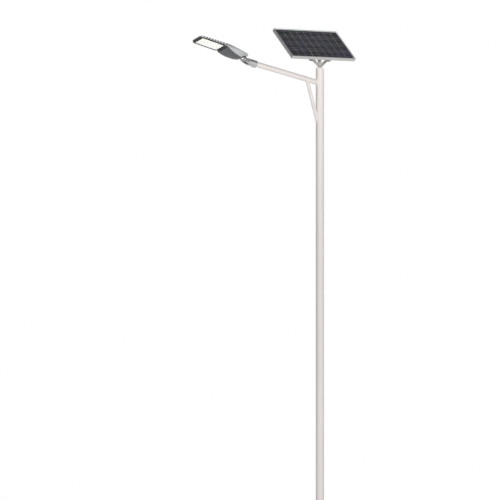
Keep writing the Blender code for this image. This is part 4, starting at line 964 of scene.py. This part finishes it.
def build_welds():
    """Beads at the flange, gussets, arm, stay and socket."""
    for quarter in range(4):
        turn = Matrix.Rotation(quarter * math.pi / 2, 4, "Z")
        for side in (-1, 1):
            line = [turn @ Vector((POLE_R + 0.0012, side * 0.0052, FLANGE_THICK + 0.004 + i * 0.0019))
                    for i in range(60)]
            weld(f"gusset_weld_{quarter}_{(side + 1) // 2}", line, 0.0020, "pole", "pole_paint", PAINT, False)
            foot = [turn @ Vector((POLE_R + 0.004 + i * 0.0019, side * 0.0052, FLANGE_THICK + 0.0008))
                    for i in range(45)]
            weld(f"gusset_foot_weld_{quarter}_{(side + 1) // 2}", foot, 0.0020, "pole", "pole_paint", PAINT,
                 False)
    weld("flange_weld", circle((0, 0, FLANGE_THICK + 0.001), POLE_R + 0.001), 0.0026, "pole", "pole_paint",
         PAINT)
    arm = ARM.to_3x3() @ Vector((1, 0, 0))
    weld("arm_weld", saddle(ARM_ROOT, arm, ARM_R + 0.0004, (0, 0, 0), (0, 0, 1), POLE_R + 0.0005), 0.0026,
         "pole", "pole_paint", PAINT)
    head = ARM_ROOT + Vector((-BRACE_REACH, 0, BRACE_REACH * math.tan(ARM_PITCH)))
    foot = Vector((-POLE_R, 0, BRACE_FOOT))
    slope = (foot - head).normalized()
    above_foot = foot - slope * 0.12
    on_pole = saddle(above_foot, -slope, BRACE_R + 0.0004, (0, 0, 0), (0, 0, 1), POLE_R + 0.0005, 80)
    weld("brace_foot_weld", on_pole, 0.0022, "pole", "pole_paint", PAINT)
    weld("brace_head_weld", saddle(head, slope, BRACE_R + 0.0004, ARM_ROOT, arm, ARM_R + 0.0005, 80), 0.0022,
         "pole", "pole_paint", PAINT)
    weld("socket_weld", circle((0, 0, POLE_TOP + 0.0002), 0.0190), 0.0018, "pole", "galvanised", ZINC)
    weld("pole_top_weld", circle((0, 0, POLE_TOP - 0.0005), 0.0352), 0.0012, "pole", "pole_paint", PAINT)


# ---------------------------------------------------------------- studio

DARK_TOWARDS = (-0.66, 0.75, 0.0)
DARK_SIDE = 0.22
CAMERA_AZIMUTH = math.radians(-30)
CAMERA_DISTANCE = 23.0
CAMERA_SIDE = -0.6435
CAMERA_HEIGHT = 3.3256


def build_camera():
    """A long lens at the photograph's angle."""
    ahead = Vector((-math.sin(CAMERA_AZIMUTH), math.cos(CAMERA_AZIMUTH), 0))
    right = Vector((math.cos(CAMERA_AZIMUTH), math.sin(CAMERA_AZIMUTH), 0))
    data = bpy.data.cameras.new("camera")
    data.sensor_width = 36.0
    data.lens = 180.0
    data.clip_end = 200.0
    item = bpy.data.objects.new("camera", data)
    bpy.context.scene.collection.objects.link(item)
    item.location = -ahead * CAMERA_DISTANCE + right * CAMERA_SIDE + Vector((0, 0, CAMERA_HEIGHT))
    item.rotation_euler = ahead.to_track_quat("-Z", "Y").to_euler()
    bpy.context.scene.camera = item


def build_sun(name, towards, strength, spread):
    """A sun that shines in one direction."""
    data = bpy.data.lights.new(name, "SUN")
    data.energy = strength
    data.angle = math.radians(spread)
    item = bpy.data.objects.new(name, data)
    bpy.context.scene.collection.objects.link(item)
    item.rotation_euler = Vector(towards).to_track_quat("-Z", "Y").to_euler()


def build_studio():
    """Pale floor, a bright horizon under a dark zenith, and two suns."""
    form = bmesh.new()
    bmesh.ops.create_circle(form, cap_ends=True, segments=96, radius=7.0)
    mesh = bpy.data.meshes.new("floor")
    form.to_mesh(mesh)
    form.free()
    floor = bpy.data.objects.new("floor", mesh)
    bpy.context.scene.collection.objects.link(floor)
    mesh.materials.append(coated("floor", (0.86, 0.86, 0.86), (0.84, 0.84, 0.84), (0.7, 0.8), 0.0, 1.0, 60.0,
                                 0.0001, Emission_Color=(1, 1, 1, 1), Emission_Strength=0.30).material)
    world = bpy.data.worlds.new("studio")
    bpy.context.scene.world = world
    world.use_nodes = True
    tree = world.node_tree
    soft = tree.nodes["Background"]
    coords = tree.nodes.new("ShaderNodeTexCoord")
    split = tree.nodes.new("ShaderNodeSeparateXYZ")
    ramp = tree.nodes.new("ShaderNodeValToRGB")
    height = tree.nodes.new("ShaderNodeMapRange")
    height.inputs["From Min"].default_value = -1.0
    tree.links.new(coords.outputs["Generated"], split.inputs[0])
    tree.links.new(split.outputs["Z"], height.inputs["Value"])
    tree.links.new(height.outputs["Result"], ramp.inputs["Fac"])
    ramp.color_ramp.elements[0].color = (0.62, 0.61, 0.60, 1)
    ramp.color_ramp.elements[1].color = (0.045, 0.045, 0.05, 1)
    for where, value in ((0.40, 0.66), (0.5, 0.86), (0.60, 0.50), (0.74, 0.14)):
        ramp.color_ramp.elements.new(where).color = (value, value, value, 1)
    tree.links.new(ramp.outputs["Color"], soft.inputs["Color"])
    facing = tree.nodes.new("ShaderNodeVectorMath")
    facing.operation = "DOT_PRODUCT"
    facing.inputs[1].default_value = DARK_TOWARDS
    shaded = tree.nodes.new("ShaderNodeMapRange")
    for socket, value in (("From Min", 0.35), ("From Max", 0.85), ("To Min", 1.0), ("To Max", DARK_SIDE)):
        shaded.inputs[socket].default_value = value
    tree.links.new(coords.outputs["Generated"], facing.inputs[0])
    tree.links.new(facing.outputs["Value"], shaded.inputs["Value"])
    tree.links.new(shaded.outputs["Result"], soft.inputs["Strength"])
    plain = tree.nodes.new("ShaderNodeBackground")
    plain.inputs["Color"].default_value = (1, 1, 1, 1)
    path = tree.nodes.new("ShaderNodeLightPath")
    both = tree.nodes.new("ShaderNodeMixShader")
    tree.links.new(path.outputs["Is Camera Ray"], both.inputs[0])
    tree.links.new(soft.outputs[0], both.inputs[1])
    tree.links.new(plain.outputs[0], both.inputs[2])
    tree.links.new(both.outputs[0], tree.nodes["World Output"].inputs["Surface"])
    build_sun("key", (0.46, 0.84, -0.30), 1.35, 14)
    build_sun("fill_from_below", (0.36, 0.66, 0.66), 1.75, 30)
    bpy.context.scene.view_settings.view_transform = "Standard"


dress_plain_nodes()
build_panel()
build_panel_lead()
build_housing()
build_cover()
build_light()
build_contents()
build_lamp_lead()
build_welds()
build_camera()
build_studio()
